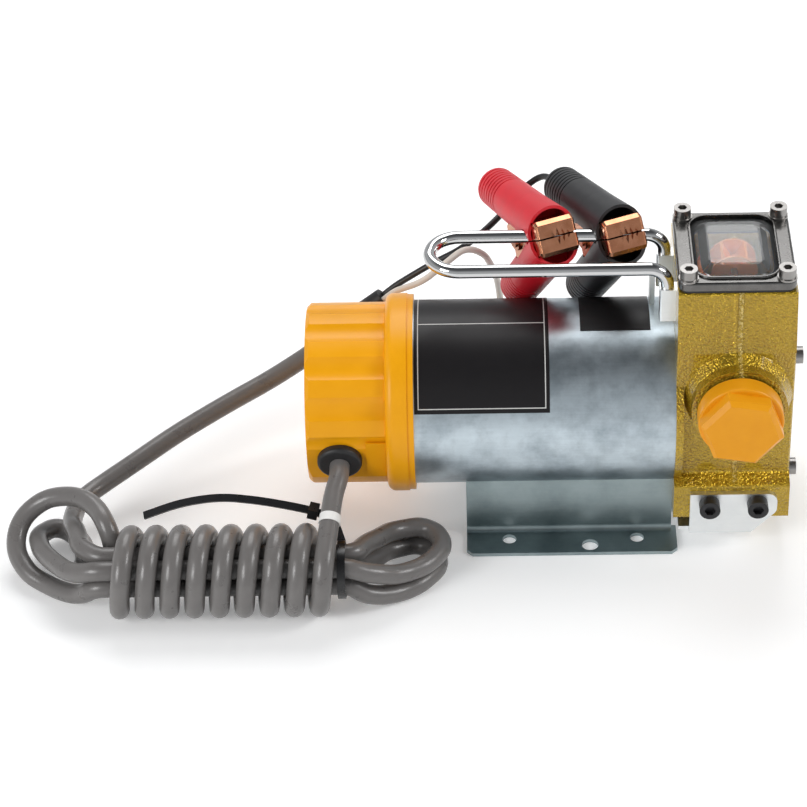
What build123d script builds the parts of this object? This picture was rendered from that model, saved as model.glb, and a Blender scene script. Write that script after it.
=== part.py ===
from build123d import *
import math
import os

# Fuel transfer pump, in mm. The motor runs along X with its cap on the left,
# Z = 0 is the floor and -Y is the front. The sizes below measure X from the joint
# between motor and pump. Each finished piece is then moved along X, so that the
# origin of the whole lies midway between the four foot holes.

# Clearances
running_gap = 0.05
loose_gap = 0.3

# Motor
axis_height = 67.0
tube_radius = 46.5
tube_wall = 2.0
tube_bore = tube_radius - tube_wall
tube_left = -142.0
magnet_thickness = 6.0
magnet_left = -118.0
magnet_right = -32.0
magnet_half_angle = 62.0
air_gap = 1.2
core_left = -112.0
core_right = -38.0
winding_radius = 31.0
winding_length = 7.0
commutator_radius = 14.0
commutator_left = -134.0
commutator_right = -121.0
shaft_radius = 5.0
shaft_left = -148.0
shield_thickness = 4.0
shield_boss_length = 9.0
bearing_width = 8.0
bearing_radius = 13.0
bearing_race = 3.0
brush_width = 6.0
brush_length = 9.0
brush_wall = 1.5
brush_box_length = 12.0
bolt_circle = tube_bore - 3.5
bolt_radius = 2.0
bolt_head_radius = 3.8
bolt_head_height = 1.9
bolt_recess = tube_radius - 1.3
bolt_depth = 9.0

# End cap
cap_left = -183.7
collar_left = -144.0
collar_right = -129.8
collar_radius = tube_radius + 3.8
collar_round = 4.0
collar_step = 1.2
collar_step_width = 3.2
ridge_radius = tube_radius - 0.5
flute_depth = 1.8
flute_radius = 13.0
flute_count = 14
first_ridge_angle = 24.5
facet_angle = 102.0
facet_distance = ridge_radius - 2.2
facet_half_width = 15.2
cap_bore = ridge_radius - 5.0
cap_end_wall = 3.0
cap_edge = 2.0
pad_left = -154.0
pad_right = -144.0
pad_height = 0.8
pad_half_width = 12.5
end_disc_radius = 30.0
end_disc_height = 0.8

# Grommet and cable
grommet_x = -167.3
grommet_radius = 11.2
grommet_height = 4.0
grommet_neck = 7.5
grommet_lip = 9.0
grommet_lip_height = 1.5
cable_radius = 5.0
cable_diameter = 2 * cable_radius
core_radius = 1.7
core_side = 2.3
marker_thickness = 0.35
marker_length = 4.5
marker_place = 12.0

# Pump body
body_right = 58.0
body_top = axis_height + 80.5
body_top_half = 31.0
crease_height = axis_height + 49.0
body_half = 37.5
ledge_top = axis_height - 25.0
ledge_height = ledge_top - 3.5
foot_half = 45.0
foot_bottom = axis_height - 49.0
casting_radius = 1.6
ridge_width = 2.2
ridge_proud = 0.5
spigot_length = 4.0
spigot_wall = 3.0
flange_width = 3.7
flange_radius = tube_radius + 1.1
port_x = 30.5
port_height = axis_height + 23.0
boss_radius = 23.6
boss_front = body_half + 11.5
boss_blend = 3.6
boss_blend_length = 6.0
port_bore = 15.15
port_depth = 16.0
chamber_radius = 27.0
chamber_rise = 3.5
chamber_left = 21.0
cover_thickness = 5.0
cover_left = body_right - cover_thickness
cover_bottom = axis_height - 34.0
seal_groove_radius = 31.0
seal_width = 2.0
well_centre_x = 28.8
well_half_x = 17.5
well_half_y = 19.0
well_bottom = axis_height + 36.0
outlet_height = well_bottom + 3.0
outlet_radius = 5.0
inlet_height = port_height - 8.0
inlet_radius = 6.0
riser_x = 41.0
riser_y = -8.0
bearing_pocket = 8.0
seal_pocket = 7.0
shaft_seal_radius = 11.0
rotor_radius = 23.0
vane_count = 5
vane_width = 3.0
vane_depth = 9.0
end_float = 0.1

# Bypass valve under the chamber
bypass_bore = 7.0
bypass_top = axis_height - 29.0
bypass_seat = 4.0
bypass_cap_height = 6.0
poppet_radius = 6.6
poppet_height = 4.0
poppet_travel = 4.0
spring_radius = 4.6
spring_wire = 0.55
spring_turns = 5
return_radius = 3.0
return_y = 14.0
return_height = foot_bottom + 12.0

# Cover screws
cover_screw_y = body_half - 6.5
cover_screw_mid = (crease_height + cover_bottom) / 2 + 0.5
cover_screw_rise = (crease_height - cover_bottom) / 2 - 6.5
screw_radius = 2.5
screw_head_radius = 4.3
screw_head_height = 5.0
cover_screw_sink = 1.2
cover_screw_depth = 15.0
socket_radius = 2.3
socket_depth = 2.6

# Port plug
plug_flange_radius = 21.0
plug_flange_height = 9.3
plug_gasket_height = 1.6
plug_hex_across = 36.0
plug_hex_height = 8.5
plug_hex_turn = -10
plug_chamfer = 2.2
plug_shank_length = 11.0
plug_shank_bore = 10.0
strainer_radius = 12.5
strainer_height = 1.6
strainer_hole = 1.3
strainer_pitch = 3.6

# Window on top of the pump
gasket_height = 1.5
frame_half_x = 28.7
frame_half_y = 30.7
frame_sheet = 1.5
frame_height = 4.5
frame_corner = 5.0
frame_screw_x = 23.8
frame_screw_y = 26.3
frame_screw_depth = 14.0
opening_half_x = 20.6
opening_half_y = 26.2
opening_corner = 9.0
bead_width = 1.2
bead_height = 1.2
dome_base_height = 3.0
dome_pane_half_x = 13.4
dome_pane_half_y = 17.6
dome_pane_top = body_top + 9.1
dome_wall = 2.2
dome_cavity_half_x = 15.5
dome_cavity_half_y = 18.5
washer_radius = 4.9
washer_height = 1.0
wheel_radius = 11.8
wheel_height = body_top - 7.2
wheel_half_width = 8.0
wheel_disc = 1.2
wheel_hub = 3.4
wheel_blade = 1.4
wheel_blades = 6
axle_radius = 1.5
axle_insert = 2.0

# Foot bracket and foot plate
bracket_left = -104.5
bracket_tongue = 2.5
sheet = 2.0
web_half = 33.0
flange_half = 51.5
bracket_bend = 3.0
bracket_corner = 3.0
outer_hole_x = (-82.8, -17.7)
outer_hole_y = 40.3
outer_hole_radius = 3.5
middle_hole_x = -41.8
middle_hole_y = 45.6
middle_hole_radius = 4.2
plate_thickness = 3.0
plate_left = 8.1
plate_right = 51.8
plate_bottom = foot_bottom - 7.0
plate_top = foot_bottom + 17.7
plate_slope_x = 39.2
plate_slope_height = foot_bottom + 6.5
plate_corner = 5.0
leg_left = 2.8
leg_inner_left = -14.0
foot_screw_x = (17.7, 41.8)
foot_screw_height = foot_bottom + 12.0
foot_screw_radius = 3.0
foot_head_radius = 5.2
foot_head_height = 6.0
foot_screw_depth = 12.0
foot_socket_radius = 2.9

# Carrying handle
rod_radius = 3.3
rod_height = body_top + 4.0
rod_half = 14.8
rod_left = -120.5
rod_bend = 9.5
post_x = -4.3
post_half = 3.7
post_top = rod_height - rod_bend - 1.0
post_bottom = post_top - 18.6
tab_left = -11.4
tab_right = -8.8
tab_front = 9.0
tab_back = 16.0
tab_top = axis_height + 64.0

# Stickers
label_left = -129.4
label_right = -62.3
label_front_angle = 66.7
label_back_angle = -58.0
sticker_left = -46.6
sticker_right = -11.7
sticker_front_angle = 14.2
sticker_back_angle = -34.0
sticker_thickness = 0.2
sticker_lift = 0.04

# Battery clips, in the clip's own directions: back, up and across
clip_back = Vector(-0.3325, 0.7773, -0.534).normalized()
clip_across = Vector(0.9182, 0.396, 0.0046).normalized()
clip_centres = {"red": -60.8, "black": -27.2}
jaw_half = 10.4
jaw_sheet = 1.2
jaw_front = -11.0
jaw_height = 9.0
jaw_gap = 0.4
jaw_step = 13.0
jaw_tail = 6.0
jaw_round = 1.8
jaw_opening_side = {"red": 1, "black": -1}
rod_slot_length = 14.0
rod_bend_room = 0.8
ear_radius = 5.0
pivot_back = 24.0
pivot_radius = 1.9
pivot_head = 3.2
pivot_head_height = 0.9
clip_spring_thickness = 1.6
grip_angle = 19.5
grip_start = -28.6
grip_end = 41.4
grip_rise = 13.0
grip_mouth = 12.4
grip_radius = 10.4
grip_waist = -6.0
grip_end_radius = 3.0
grip_wall = 1.6
hood_depth = 15.0
grip_wedge = 10.0
grip_rib_count = 7
grip_rib_pitch = 3.0
grip_rib_depth = 0.45
grip_rib_width = 0.9
tooth_count = 5
tooth_depth = 2.0
tooth_extra_depth = 2.4
tooth_pitch = 2.7
tooth_half_width = 1.15


def across(x):
    """Plane across the motor axis at x: its own x is Y and its own y is Z."""
    return Plane.YZ.offset(x)


def facing(y):
    """Plane that faces the front at y: its own x is X and its own y is Z."""
    return Plane.XZ.offset(-y)


def round_angle(angle):
    """Direction across the motor axis, in degrees from the top to the front."""
    turn = math.radians(angle)
    return -math.sin(turn), math.cos(turn)


def wedge(start, end, reach):
    """Corners of a wedge from the motor axis between two angles from the top."""
    middle = (start + end) / 2
    points = [(0, 0)]
    for angle in (start, (start + middle) / 2, middle, (middle + end) / 2, end):
        y, z = round_angle(angle)
        points.append((reach * y, reach * z))
    return points


def write(piece, label):
    """Set a finished piece on the common origin, name it and write it to its file."""
    piece.part.move(Location((joint_x, 0, 0)))
    piece.part.label = label
    export_step(piece.part, f"parts/{label}.step")


os.makedirs("parts", exist_ok=True)
axis_point = (0, axis_height)
joint_x = -sum(outer_hole_x) / 2


# Motor tube
with BuildPart() as motor_tube:
    with BuildSketch(across(tube_left)):
        with Locations(axis_point):
            Circle(tube_radius)
            Circle(tube_bore, mode=Mode.SUBTRACT)
    extrude(amount=-tube_left)
write(motor_tube, "motor_tube")

# End cap: fluted drum with a flat for the cable, and a collar over the tube
facet_y, facet_z = round_angle(facet_angle)
with BuildPart() as end_cap:
    with BuildSketch(across(cap_left)):
        with Locations(axis_point):
            Circle(ridge_radius)
    extrude(amount=collar_left - cap_left)
    chamfer(end_cap.edges().group_by(Axis.X)[0], cap_edge)
    with BuildSketch(across(cap_left)):
        for flute in range(flute_count):
            turn = first_ridge_angle + (flute + 0.5) * 360 / flute_count
            if abs(turn - facet_angle) > 180 / flute_count:
                y, z = round_angle(turn)
                distance = ridge_radius - flute_depth + flute_radius
                with Locations((distance * y, axis_height + distance * z)):
                    Circle(flute_radius)
    extrude(amount=collar_left - cap_left, mode=Mode.SUBTRACT)
    with BuildSketch(across(cap_left)):
        corners = [
            (
                distance * facet_y + side * facet_z,
                axis_height + distance * facet_z - side * facet_y,
            )
            for distance, side in (
                (facet_distance, -facet_half_width),
                (collar_radius, -facet_half_width),
                (collar_radius, facet_half_width),
                (facet_distance, facet_half_width),
            )
        ]
        Polygon(*corners, align=None)
    extrude(amount=collar_left - cap_left, mode=Mode.SUBTRACT)
    with BuildSketch(
        Plane(
            origin=(
                (pad_left + pad_right) / 2,
                facet_distance * facet_y,
                axis_height + facet_distance * facet_z,
            ),
            x_dir=(1, 0, 0),
            z_dir=(0, facet_y, facet_z),
        )
    ):
        Rectangle(pad_right - pad_left, 2 * pad_half_width)
    extrude(amount=pad_height)
    with BuildSketch(across(collar_left)):
        with Locations(axis_point):
            Circle(collar_radius)
    extrude(amount=collar_right - collar_left)
    shoulder = end_cap.edges().filter_by(GeomType.CIRCLE)
    shoulder = shoulder.filter_by(lambda edge: abs(edge.radius - collar_radius) < 0.01)
    fillet(shoulder.group_by(Axis.X)[0], collar_round)
    with BuildSketch(across(collar_right - collar_step_width)):
        with Locations(axis_point):
            Circle(collar_radius + collar_step)
            Circle(collar_radius - collar_step / 2, mode=Mode.SUBTRACT)
    extrude(amount=collar_step_width, mode=Mode.SUBTRACT)
    with BuildSketch(across(tube_left)):
        with Locations(axis_point):
            Circle(tube_radius + running_gap)
    extrude(amount=collar_right - tube_left, mode=Mode.SUBTRACT)
    with BuildSketch(across(cap_left + cap_end_wall)):
        with Locations(axis_point):
            Circle(cap_bore)
    extrude(amount=tube_left - cap_left - cap_end_wall, mode=Mode.SUBTRACT)
    with BuildSketch(across(collar_left)):
        with Locations(axis_point):
            Circle(bolt_recess)
    extrude(amount=tube_left - collar_left, mode=Mode.SUBTRACT)
    with BuildSketch(across(cap_left - end_disc_height)):
        with Locations(axis_point):
            Circle(end_disc_radius)
    extrude(amount=2 * end_disc_height)
    with BuildSketch(
        Plane(
            origin=(grommet_x, 0, axis_height),
            x_dir=(1, 0, 0),
            z_dir=(0, facet_y, facet_z),
        )
    ):
        Circle(grommet_neck)
    extrude(amount=collar_radius, mode=Mode.SUBTRACT)
write(end_cap, "end_cap")

# Grommet: flange outside, neck through the wall, lip inside
grommet_outward = Vector(0, facet_y, facet_z)
grommet_seat = Vector(grommet_x, 0, axis_height) + grommet_outward * facet_distance
grommet_face = grommet_seat + grommet_outward * grommet_height
with BuildPart() as cable_grommet:
    with BuildSketch(Plane(grommet_seat, x_dir=(1, 0, 0), z_dir=grommet_outward)):
        Circle(grommet_radius)
    extrude(amount=grommet_height)
    outer_rim = cable_grommet.edges().sort_by(
        lambda edge: (edge.center() - grommet_seat).dot(grommet_outward)
    )
    fillet(outer_rim[-1], grommet_height / 2)
    with BuildSketch(Plane(grommet_seat, x_dir=(1, 0, 0), z_dir=-grommet_outward)):
        Circle(grommet_neck)
    extrude(amount=facet_distance - cap_bore + grommet_lip_height)
write(cable_grommet, "cable_grommet")

# End shield with the rear bearing
shield_left = tube_left
with BuildPart() as end_shield:
    with BuildSketch(across(shield_left)):
        with Locations(axis_point):
            Circle(tube_bore - running_gap)
    extrude(amount=shield_thickness)
    with BuildSketch(across(shield_left - shield_boss_length + shield_thickness)):
        with Locations(axis_point):
            Circle(bearing_radius + sheet)
    extrude(amount=shield_boss_length)
    with BuildSketch(across(shield_left - shield_boss_length + shield_thickness)):
        with Locations(axis_point):
            Circle(bearing_radius)
    extrude(amount=bearing_width, mode=Mode.SUBTRACT)
    with BuildSketch(across(shield_left - shield_boss_length)):
        with Locations(axis_point):
            Circle(shaft_radius + 1)
        for side in (-1, 1):
            with Locations((0, axis_height + side * bolt_circle)):
                Circle(bolt_radius + running_gap)
    extrude(amount=2 * shield_boss_length, mode=Mode.SUBTRACT)
write(end_shield, "end_shield")


def bearing(x, label):
    """Ball bearing shown as one ring with a groove between its races."""
    with BuildPart() as ring:
        with BuildSketch(across(x)):
            with Locations(axis_point):
                Circle(bearing_radius)
                Circle(shaft_radius + running_gap, mode=Mode.SUBTRACT)
        extrude(amount=bearing_width)
        with BuildSketch(across(x)):
            with Locations(axis_point):
                Circle(bearing_radius - bearing_race)
                Circle(shaft_radius + bearing_race - 1, mode=Mode.SUBTRACT)
        extrude(amount=1, mode=Mode.SUBTRACT)
    write(ring, label)


bearing(shield_left - shield_boss_length + shield_thickness, "bearing_rear")
bearing(0, "bearing_front")

# Field magnets, front and back
with BuildPart() as field_magnets:
    with BuildSketch(across(magnet_left)):
        with Locations(axis_point):
            Circle(tube_bore)
            Circle(tube_bore - magnet_thickness, mode=Mode.SUBTRACT)
        with Locations(axis_point):
            Rectangle(
                2 * tube_radius * math.cos(math.radians(magnet_half_angle)),
                3 * tube_radius,
                mode=Mode.SUBTRACT,
            )
    extrude(amount=magnet_right - magnet_left)
write(field_magnets, "field_magnets")

# Turning set: shaft, armature core, windings, commutator
core_outer = tube_bore - magnet_thickness - air_gap
with BuildPart() as motor_shaft:
    with BuildSketch(across(shaft_left)):
        with Locations(axis_point):
            Circle(shaft_radius)
    extrude(amount=cover_left - end_float - shaft_left)
write(motor_shaft, "motor_shaft")

with BuildPart() as armature_core:
    with BuildSketch(across(core_left)):
        with Locations(axis_point):
            Circle(core_outer)
            Circle(shaft_radius, mode=Mode.SUBTRACT)
            with PolarLocations(core_outer, 12):
                Rectangle(6, 2.4, mode=Mode.SUBTRACT)
    extrude(amount=core_right - core_left)
write(armature_core, "armature_core")

with BuildPart() as windings:
    for start in (core_left - winding_length, core_right):
        with BuildSketch(across(start)):
            with Locations(axis_point):
                Circle(winding_radius)
                Circle(shaft_radius, mode=Mode.SUBTRACT)
        extrude(amount=winding_length)
write(windings, "windings")

with BuildPart() as commutator:
    with BuildSketch(across(commutator_left)):
        with Locations(axis_point):
            Circle(commutator_radius)
            Circle(shaft_radius, mode=Mode.SUBTRACT)
            with PolarLocations(commutator_radius, 16):
                Rectangle(2, 0.8, mode=Mode.SUBTRACT)
    extrude(amount=commutator_right - commutator_left)
write(commutator, "commutator")

# Brushes and their boxes on the end shield
shield_right = shield_left + shield_thickness
brush_inner = commutator_radius + running_gap
with BuildPart() as brushes:
    with BuildSketch(across(commutator_left + 2)):
        for side in (-1, 1):
            with Locations((side * (brush_inner + brush_length / 2), axis_height)):
                Rectangle(brush_length, brush_width)
    extrude(amount=brush_width)
write(brushes, "brushes")

with BuildPart() as brush_boxes:
    with BuildSketch(across(shield_right)):
        for side in (-1, 1):
            with Locations((side * (brush_inner + 3 + brush_box_length / 2), axis_height)):
                Rectangle(brush_box_length, brush_width + 2 * brush_wall)
    extrude(amount=commutator_left + 2 + brush_width + brush_wall - shield_right)
    with BuildSketch(across(commutator_left + 2)):
        with Locations(axis_point):
            Rectangle(2 * (brush_inner + brush_length), brush_width)
    extrude(amount=brush_width, mode=Mode.SUBTRACT)
write(brush_boxes, "brush_boxes")

# Two long bolts that hold motor and pump together
with BuildPart() as motor_bolts:
    with BuildSketch(across(shield_left - bolt_head_height)):
        for side in (-1, 1):
            with Locations((0, axis_height + side * bolt_circle)):
                Circle(bolt_head_radius)
    extrude(amount=bolt_head_height)
    with BuildSketch(across(shield_left)):
        for side in (-1, 1):
            with Locations((0, axis_height + side * bolt_circle)):
                Circle(bolt_radius)
    extrude(amount=bolt_depth - shield_left)
write(motor_bolts, "motor_bolts")

# Pump body
body_outline = [
    (-body_top_half, body_top),
    (-body_half, crease_height),
    (-body_half, ledge_top),
    (-foot_half, ledge_height),
    (-foot_half, foot_bottom),
    (foot_half, foot_bottom),
    (foot_half, ledge_height),
    (body_half, ledge_top),
    (body_half, crease_height),
    (body_top_half, body_top),
]
cover_outline = [
    (-body_half, crease_height),
    (-body_half, cover_bottom),
    (body_half, cover_bottom),
    (body_half, crease_height),
]
chamber_point = (0, axis_height + chamber_rise)
chamber_top = axis_height + chamber_rise + chamber_radius
with BuildPart() as pump_body:
    with BuildSketch(across(0)):
        Polygon(*body_outline, align=None)
    extrude(amount=body_right)
    fillet(pump_body.edges().filter_by(Axis.X), casting_radius)
    with BuildSketch(across(0)):
        with Locations(axis_point):
            Circle(flange_radius)
    extrude(amount=flange_width)
    with BuildSketch(facing(-boss_front)):
        with Locations((port_x, port_height)):
            Circle(boss_radius)
    extrude(amount=-2 * boss_front)
    for side in (-1, 1):
        with BuildSketch(facing(side * (body_half - 1))):
            with Locations((port_x, port_height)):
                Circle(boss_radius + boss_blend)
        with BuildSketch(facing(side * (body_half + boss_blend_length))):
            with Locations((port_x, port_height)):
                Circle(boss_radius)
        loft()
    with BuildSketch(across(port_x - ridge_width / 2)):
        top_y = body_half + ridge_proud
        Polygon(
            (-top_y, ledge_top),
            (-top_y, crease_height),
            (-body_top_half - ridge_proud, body_top - ridge_proud),
            (0, body_top - ridge_proud),
            (0, ledge_top),
            align=None,
        )
    extrude(amount=ridge_width)
    with BuildSketch(across(cover_left)):
        Polygon(*cover_outline, align=None)
    extrude(amount=cover_thickness, mode=Mode.SUBTRACT)
    with BuildSketch(across(-spigot_length)):
        with Locations(axis_point):
            Circle(tube_bore - running_gap)
            Circle(tube_bore - spigot_wall, mode=Mode.SUBTRACT)
    extrude(amount=spigot_length)
    with BuildSketch(across(-spigot_length)):
        for side in (-1, 1):
            with Locations((0, axis_height + side * bolt_circle)):
                Circle(bolt_radius + running_gap)
    extrude(amount=spigot_length + bolt_depth, mode=Mode.SUBTRACT)
    with BuildSketch(across(chamber_left)):
        with Locations(chamber_point):
            Circle(chamber_radius)
    extrude(amount=body_right - chamber_left, mode=Mode.SUBTRACT)
    with BuildSketch(across(cover_left - seal_width)):
        with Locations(chamber_point):
            Circle(seal_groove_radius)
            Circle(seal_groove_radius - seal_width, mode=Mode.SUBTRACT)
    extrude(amount=seal_width, mode=Mode.SUBTRACT)
    with BuildSketch(across(0)):
        with Locations(axis_point):
            Circle(bearing_radius)
    extrude(amount=bearing_pocket, mode=Mode.SUBTRACT)
    with BuildSketch(across(0)):
        with Locations(axis_point):
            Circle(shaft_seal_radius)
    extrude(amount=bearing_pocket + seal_pocket, mode=Mode.SUBTRACT)
    with BuildSketch(across(0)):
        with Locations(axis_point):
            Circle(shaft_radius + loose_gap)
    extrude(amount=chamber_left, mode=Mode.SUBTRACT)
    for face_y, inward in ((-boss_front, -1), (boss_front, 1)):
        with BuildSketch(facing(face_y)):
            with Locations((port_x, port_height)):
                Circle(port_bore)
        extrude(amount=inward * port_depth, mode=Mode.SUBTRACT)
    with BuildSketch(facing(boss_front - port_depth)):
        with Locations((port_x, port_height)):
            Circle(strainer_radius)
    extrude(amount=strainer_height, mode=Mode.SUBTRACT)
    with BuildSketch(Plane.XY.offset(well_bottom)):
        with Locations((well_centre_x, 0)):
            RectangleRounded(2 * well_half_x, 2 * well_half_y, 4)
    extrude(amount=body_top - well_bottom, mode=Mode.SUBTRACT)
    with BuildSketch(facing(-body_half + 1)):
        with Locations((well_centre_x, outlet_height)):
            Circle(outlet_radius)
    extrude(amount=-body_half + 3, mode=Mode.SUBTRACT)
    with BuildSketch(facing(boss_front - port_depth + 2)):
        with Locations((port_x, inlet_height)):
            Circle(inlet_radius)
    extrude(amount=chamber_radius / 2, mode=Mode.SUBTRACT)
    with BuildSketch(Plane.XY.offset(chamber_top - chamber_rise)):
        with Locations((riser_x, riser_y)):
            Circle(outlet_radius - 1)
    extrude(amount=well_bottom - chamber_top + 2 * chamber_rise, mode=Mode.SUBTRACT)
    with BuildSketch(Plane.XY.offset(foot_bottom)):
        with Locations((port_x, 0)):
            Circle(bypass_bore)
    extrude(amount=bypass_top - foot_bottom, mode=Mode.SUBTRACT)
    with BuildSketch(Plane.XY.offset(foot_bottom)):
        with Locations((port_x, 0)):
            Circle(bypass_seat)
    extrude(amount=axis_height - foot_bottom, mode=Mode.SUBTRACT)
    with BuildSketch(Plane.XY.offset(return_height)):
        with Locations((port_x, return_y)):
            Circle(return_radius)
    extrude(amount=axis_height - return_height, mode=Mode.SUBTRACT)
    with BuildSketch(facing(return_y)):
        with Locations((port_x, return_height + return_radius)):
            Circle(return_radius)
    extrude(amount=return_y, mode=Mode.SUBTRACT)
    with BuildSketch(facing(-foot_half)):
        for x in foot_screw_x:
            with Locations((x, foot_screw_height)):
                Circle(foot_screw_radius)
    extrude(amount=-foot_screw_depth, mode=Mode.SUBTRACT)
    with BuildSketch(facing(foot_half)):
        for x in foot_screw_x:
            with Locations((x, foot_screw_height)):
                Circle(foot_screw_radius)
    extrude(amount=foot_screw_depth, mode=Mode.SUBTRACT)
    with BuildSketch(across(cover_left)):
        for y in (-cover_screw_y, cover_screw_y):
            for rise in (-cover_screw_rise, cover_screw_rise):
                with Locations((y, cover_screw_mid + rise)):
                    Circle(screw_radius)
    extrude(amount=-cover_screw_depth, mode=Mode.SUBTRACT)
    with BuildSketch(Plane.XY.offset(body_top)):
        with Locations((well_centre_x, 0)):
            with GridLocations(2 * frame_screw_x, 2 * frame_screw_y, 2, 2):
                Circle(screw_radius)
    extrude(amount=-frame_screw_depth, mode=Mode.SUBTRACT)
    with BuildSketch(facing(well_half_y + axle_insert)):
        with Locations((well_centre_x, wheel_height)):
            Circle(axle_radius)
    extrude(amount=2 * (well_half_y + axle_insert), mode=Mode.SUBTRACT)
write(pump_body, "pump_body")

# End cover and its seal
with BuildPart() as end_cover:
    with BuildSketch(across(cover_left)):
        Polygon(*cover_outline, align=None)
    extrude(amount=cover_thickness)
    chamfer(end_cover.faces().sort_by(Axis.X)[-1].edges(), 0.8)
    with BuildSketch(across(cover_left)):
        for y in (-cover_screw_y, cover_screw_y):
            for rise in (-cover_screw_rise, cover_screw_rise):
                with Locations((y, cover_screw_mid + rise)):
                    Circle(screw_radius)
    extrude(amount=cover_thickness, mode=Mode.SUBTRACT)
    with BuildSketch(across(body_right)):
        for y in (-cover_screw_y, cover_screw_y):
            for rise in (-cover_screw_rise, cover_screw_rise):
                with Locations((y, cover_screw_mid + rise)):
                    Circle(screw_head_radius + loose_gap)
    extrude(amount=-cover_screw_sink, mode=Mode.SUBTRACT)
write(end_cover, "end_cover")

with BuildPart() as cover_seal:
    with BuildSketch(across(cover_left - seal_width)):
        with Locations(chamber_point):
            Circle(seal_groove_radius)
            Circle(seal_groove_radius - seal_width, mode=Mode.SUBTRACT)
    extrude(amount=seal_width)
write(cover_seal, "cover_seal")


def cap_screws(seats, head_radius, head_height, shank_radius, depth, key_radius, label):
    """Group of socket head screws on seat planes that face outward."""
    with BuildPart() as group:
        for seat in seats:
            with BuildSketch(seat):
                Circle(head_radius)
            extrude(amount=head_height)
            with BuildSketch(seat):
                Circle(shank_radius)
            extrude(amount=-depth)
            with BuildSketch(seat.offset(head_height)):
                RegularPolygon(key_radius, 6)
            extrude(amount=-socket_depth, mode=Mode.SUBTRACT)
    write(group, label)


cap_screws(
    [
        Plane(
            (body_right - cover_screw_sink, y, cover_screw_mid + rise),
            x_dir=(0, 1, 0),
            z_dir=(1, 0, 0),
        )
        for y in (-cover_screw_y, cover_screw_y)
        for rise in (-cover_screw_rise, cover_screw_rise)
    ],
    screw_head_radius,
    screw_head_height,
    screw_radius,
    cover_thickness - cover_screw_sink + cover_screw_depth - 1,
    socket_radius,
    "cover_screws",
)

# Port plug: shank in the port, flange and hexagon outside, gasket between
plug_seat = -boss_front
with BuildPart() as plug_gasket:
    with BuildSketch(facing(plug_seat)):
        with Locations((port_x, port_height)):
            Circle(plug_flange_radius - 1)
            Circle(port_bore + loose_gap, mode=Mode.SUBTRACT)
    extrude(amount=plug_gasket_height)
write(plug_gasket, "plug_gasket")

plug_flange_y = plug_seat - plug_gasket_height
with BuildPart() as port_plug:
    with BuildSketch(facing(plug_flange_y)):
        with Locations((port_x, port_height)):
            Circle(plug_flange_radius)
    extrude(amount=plug_flange_height)
    front_rim = port_plug.faces().sort_by(Axis.Y)[0].edges()
    fillet(front_rim, 1.2)
    with BuildSketch(facing(plug_flange_y - plug_flange_height)):
        with Locations((port_x, port_height)):
            RegularPolygon(plug_hex_across / 2, 6, major_radius=False, rotation=plug_hex_turn)
    extrude(amount=plug_hex_height)
    chamfer(port_plug.faces().sort_by(Axis.Y)[0].edges(), plug_chamfer)
    with BuildSketch(facing(plug_flange_y)):
        with Locations((port_x, port_height)):
            Circle(port_bore - running_gap)
    extrude(amount=-plug_shank_length)
    with BuildSketch(facing(plug_flange_y + plug_shank_length)):
        with Locations((port_x, port_height)):
            Circle(plug_shank_bore)
    extrude(amount=plug_shank_length, mode=Mode.SUBTRACT)
write(port_plug, "port_plug")

# Strainer in a recess behind the rear port
strainer_y = boss_front - port_depth
with BuildPart() as strainer:
    with BuildSketch(facing(strainer_y)):
        with Locations((port_x, port_height)):
            Circle(strainer_radius)
            with GridLocations(strainer_pitch, strainer_pitch, 5, 5):
                Circle(strainer_hole, mode=Mode.SUBTRACT)
    extrude(amount=strainer_height)
write(strainer, "strainer")

# Shaft seal, vane rotor and vanes
with BuildPart() as shaft_seal:
    with BuildSketch(across(bearing_pocket)):
        with Locations(axis_point):
            Circle(shaft_seal_radius)
            Circle(shaft_radius + running_gap, mode=Mode.SUBTRACT)
    extrude(amount=seal_pocket)
write(shaft_seal, "shaft_seal")

with BuildPart() as vane_rotor:
    with BuildSketch(across(chamber_left + end_float)):
        with Locations(axis_point):
            Circle(rotor_radius)
            Circle(shaft_radius, mode=Mode.SUBTRACT)
            with PolarLocations(rotor_radius - vane_depth / 2, vane_count):
                Rectangle(vane_depth + 1, vane_width + 2 * running_gap, mode=Mode.SUBTRACT)
    extrude(amount=cover_left - chamber_left - 2 * end_float)
write(vane_rotor, "vane_rotor")

with BuildPart() as vanes:
    with BuildSketch(across(chamber_left + end_float)):
        with Locations(axis_point):
            with PolarLocations(rotor_radius - vane_depth / 2 - 0.5, vane_count):
                Rectangle(vane_depth, vane_width)
    extrude(amount=cover_left - chamber_left - 2 * end_float)
write(vanes, "vanes")

# Bypass valve
with BuildPart() as bypass_cap:
    with BuildSketch(Plane.XY.offset(foot_bottom)):
        with Locations((port_x, 0)):
            Circle(bypass_bore)
            RegularPolygon(socket_radius + 1, 6, mode=Mode.SUBTRACT)
    extrude(amount=bypass_cap_height / 2)
    with BuildSketch(Plane.XY.offset(foot_bottom + bypass_cap_height / 2)):
        with Locations((port_x, 0)):
            Circle(bypass_bore)
    extrude(amount=bypass_cap_height / 2)
write(bypass_cap, "bypass_cap")

poppet_bottom = bypass_top - poppet_height
with BuildPart() as bypass_poppet:
    with BuildSketch(Plane.XY.offset(poppet_bottom)):
        with Locations((port_x, 0)):
            Circle(poppet_radius)
    extrude(amount=poppet_height)
    chamfer(bypass_poppet.faces().sort_by(Axis.Z)[-1].edges(), 0.6)
write(bypass_poppet, "bypass_poppet")

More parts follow.
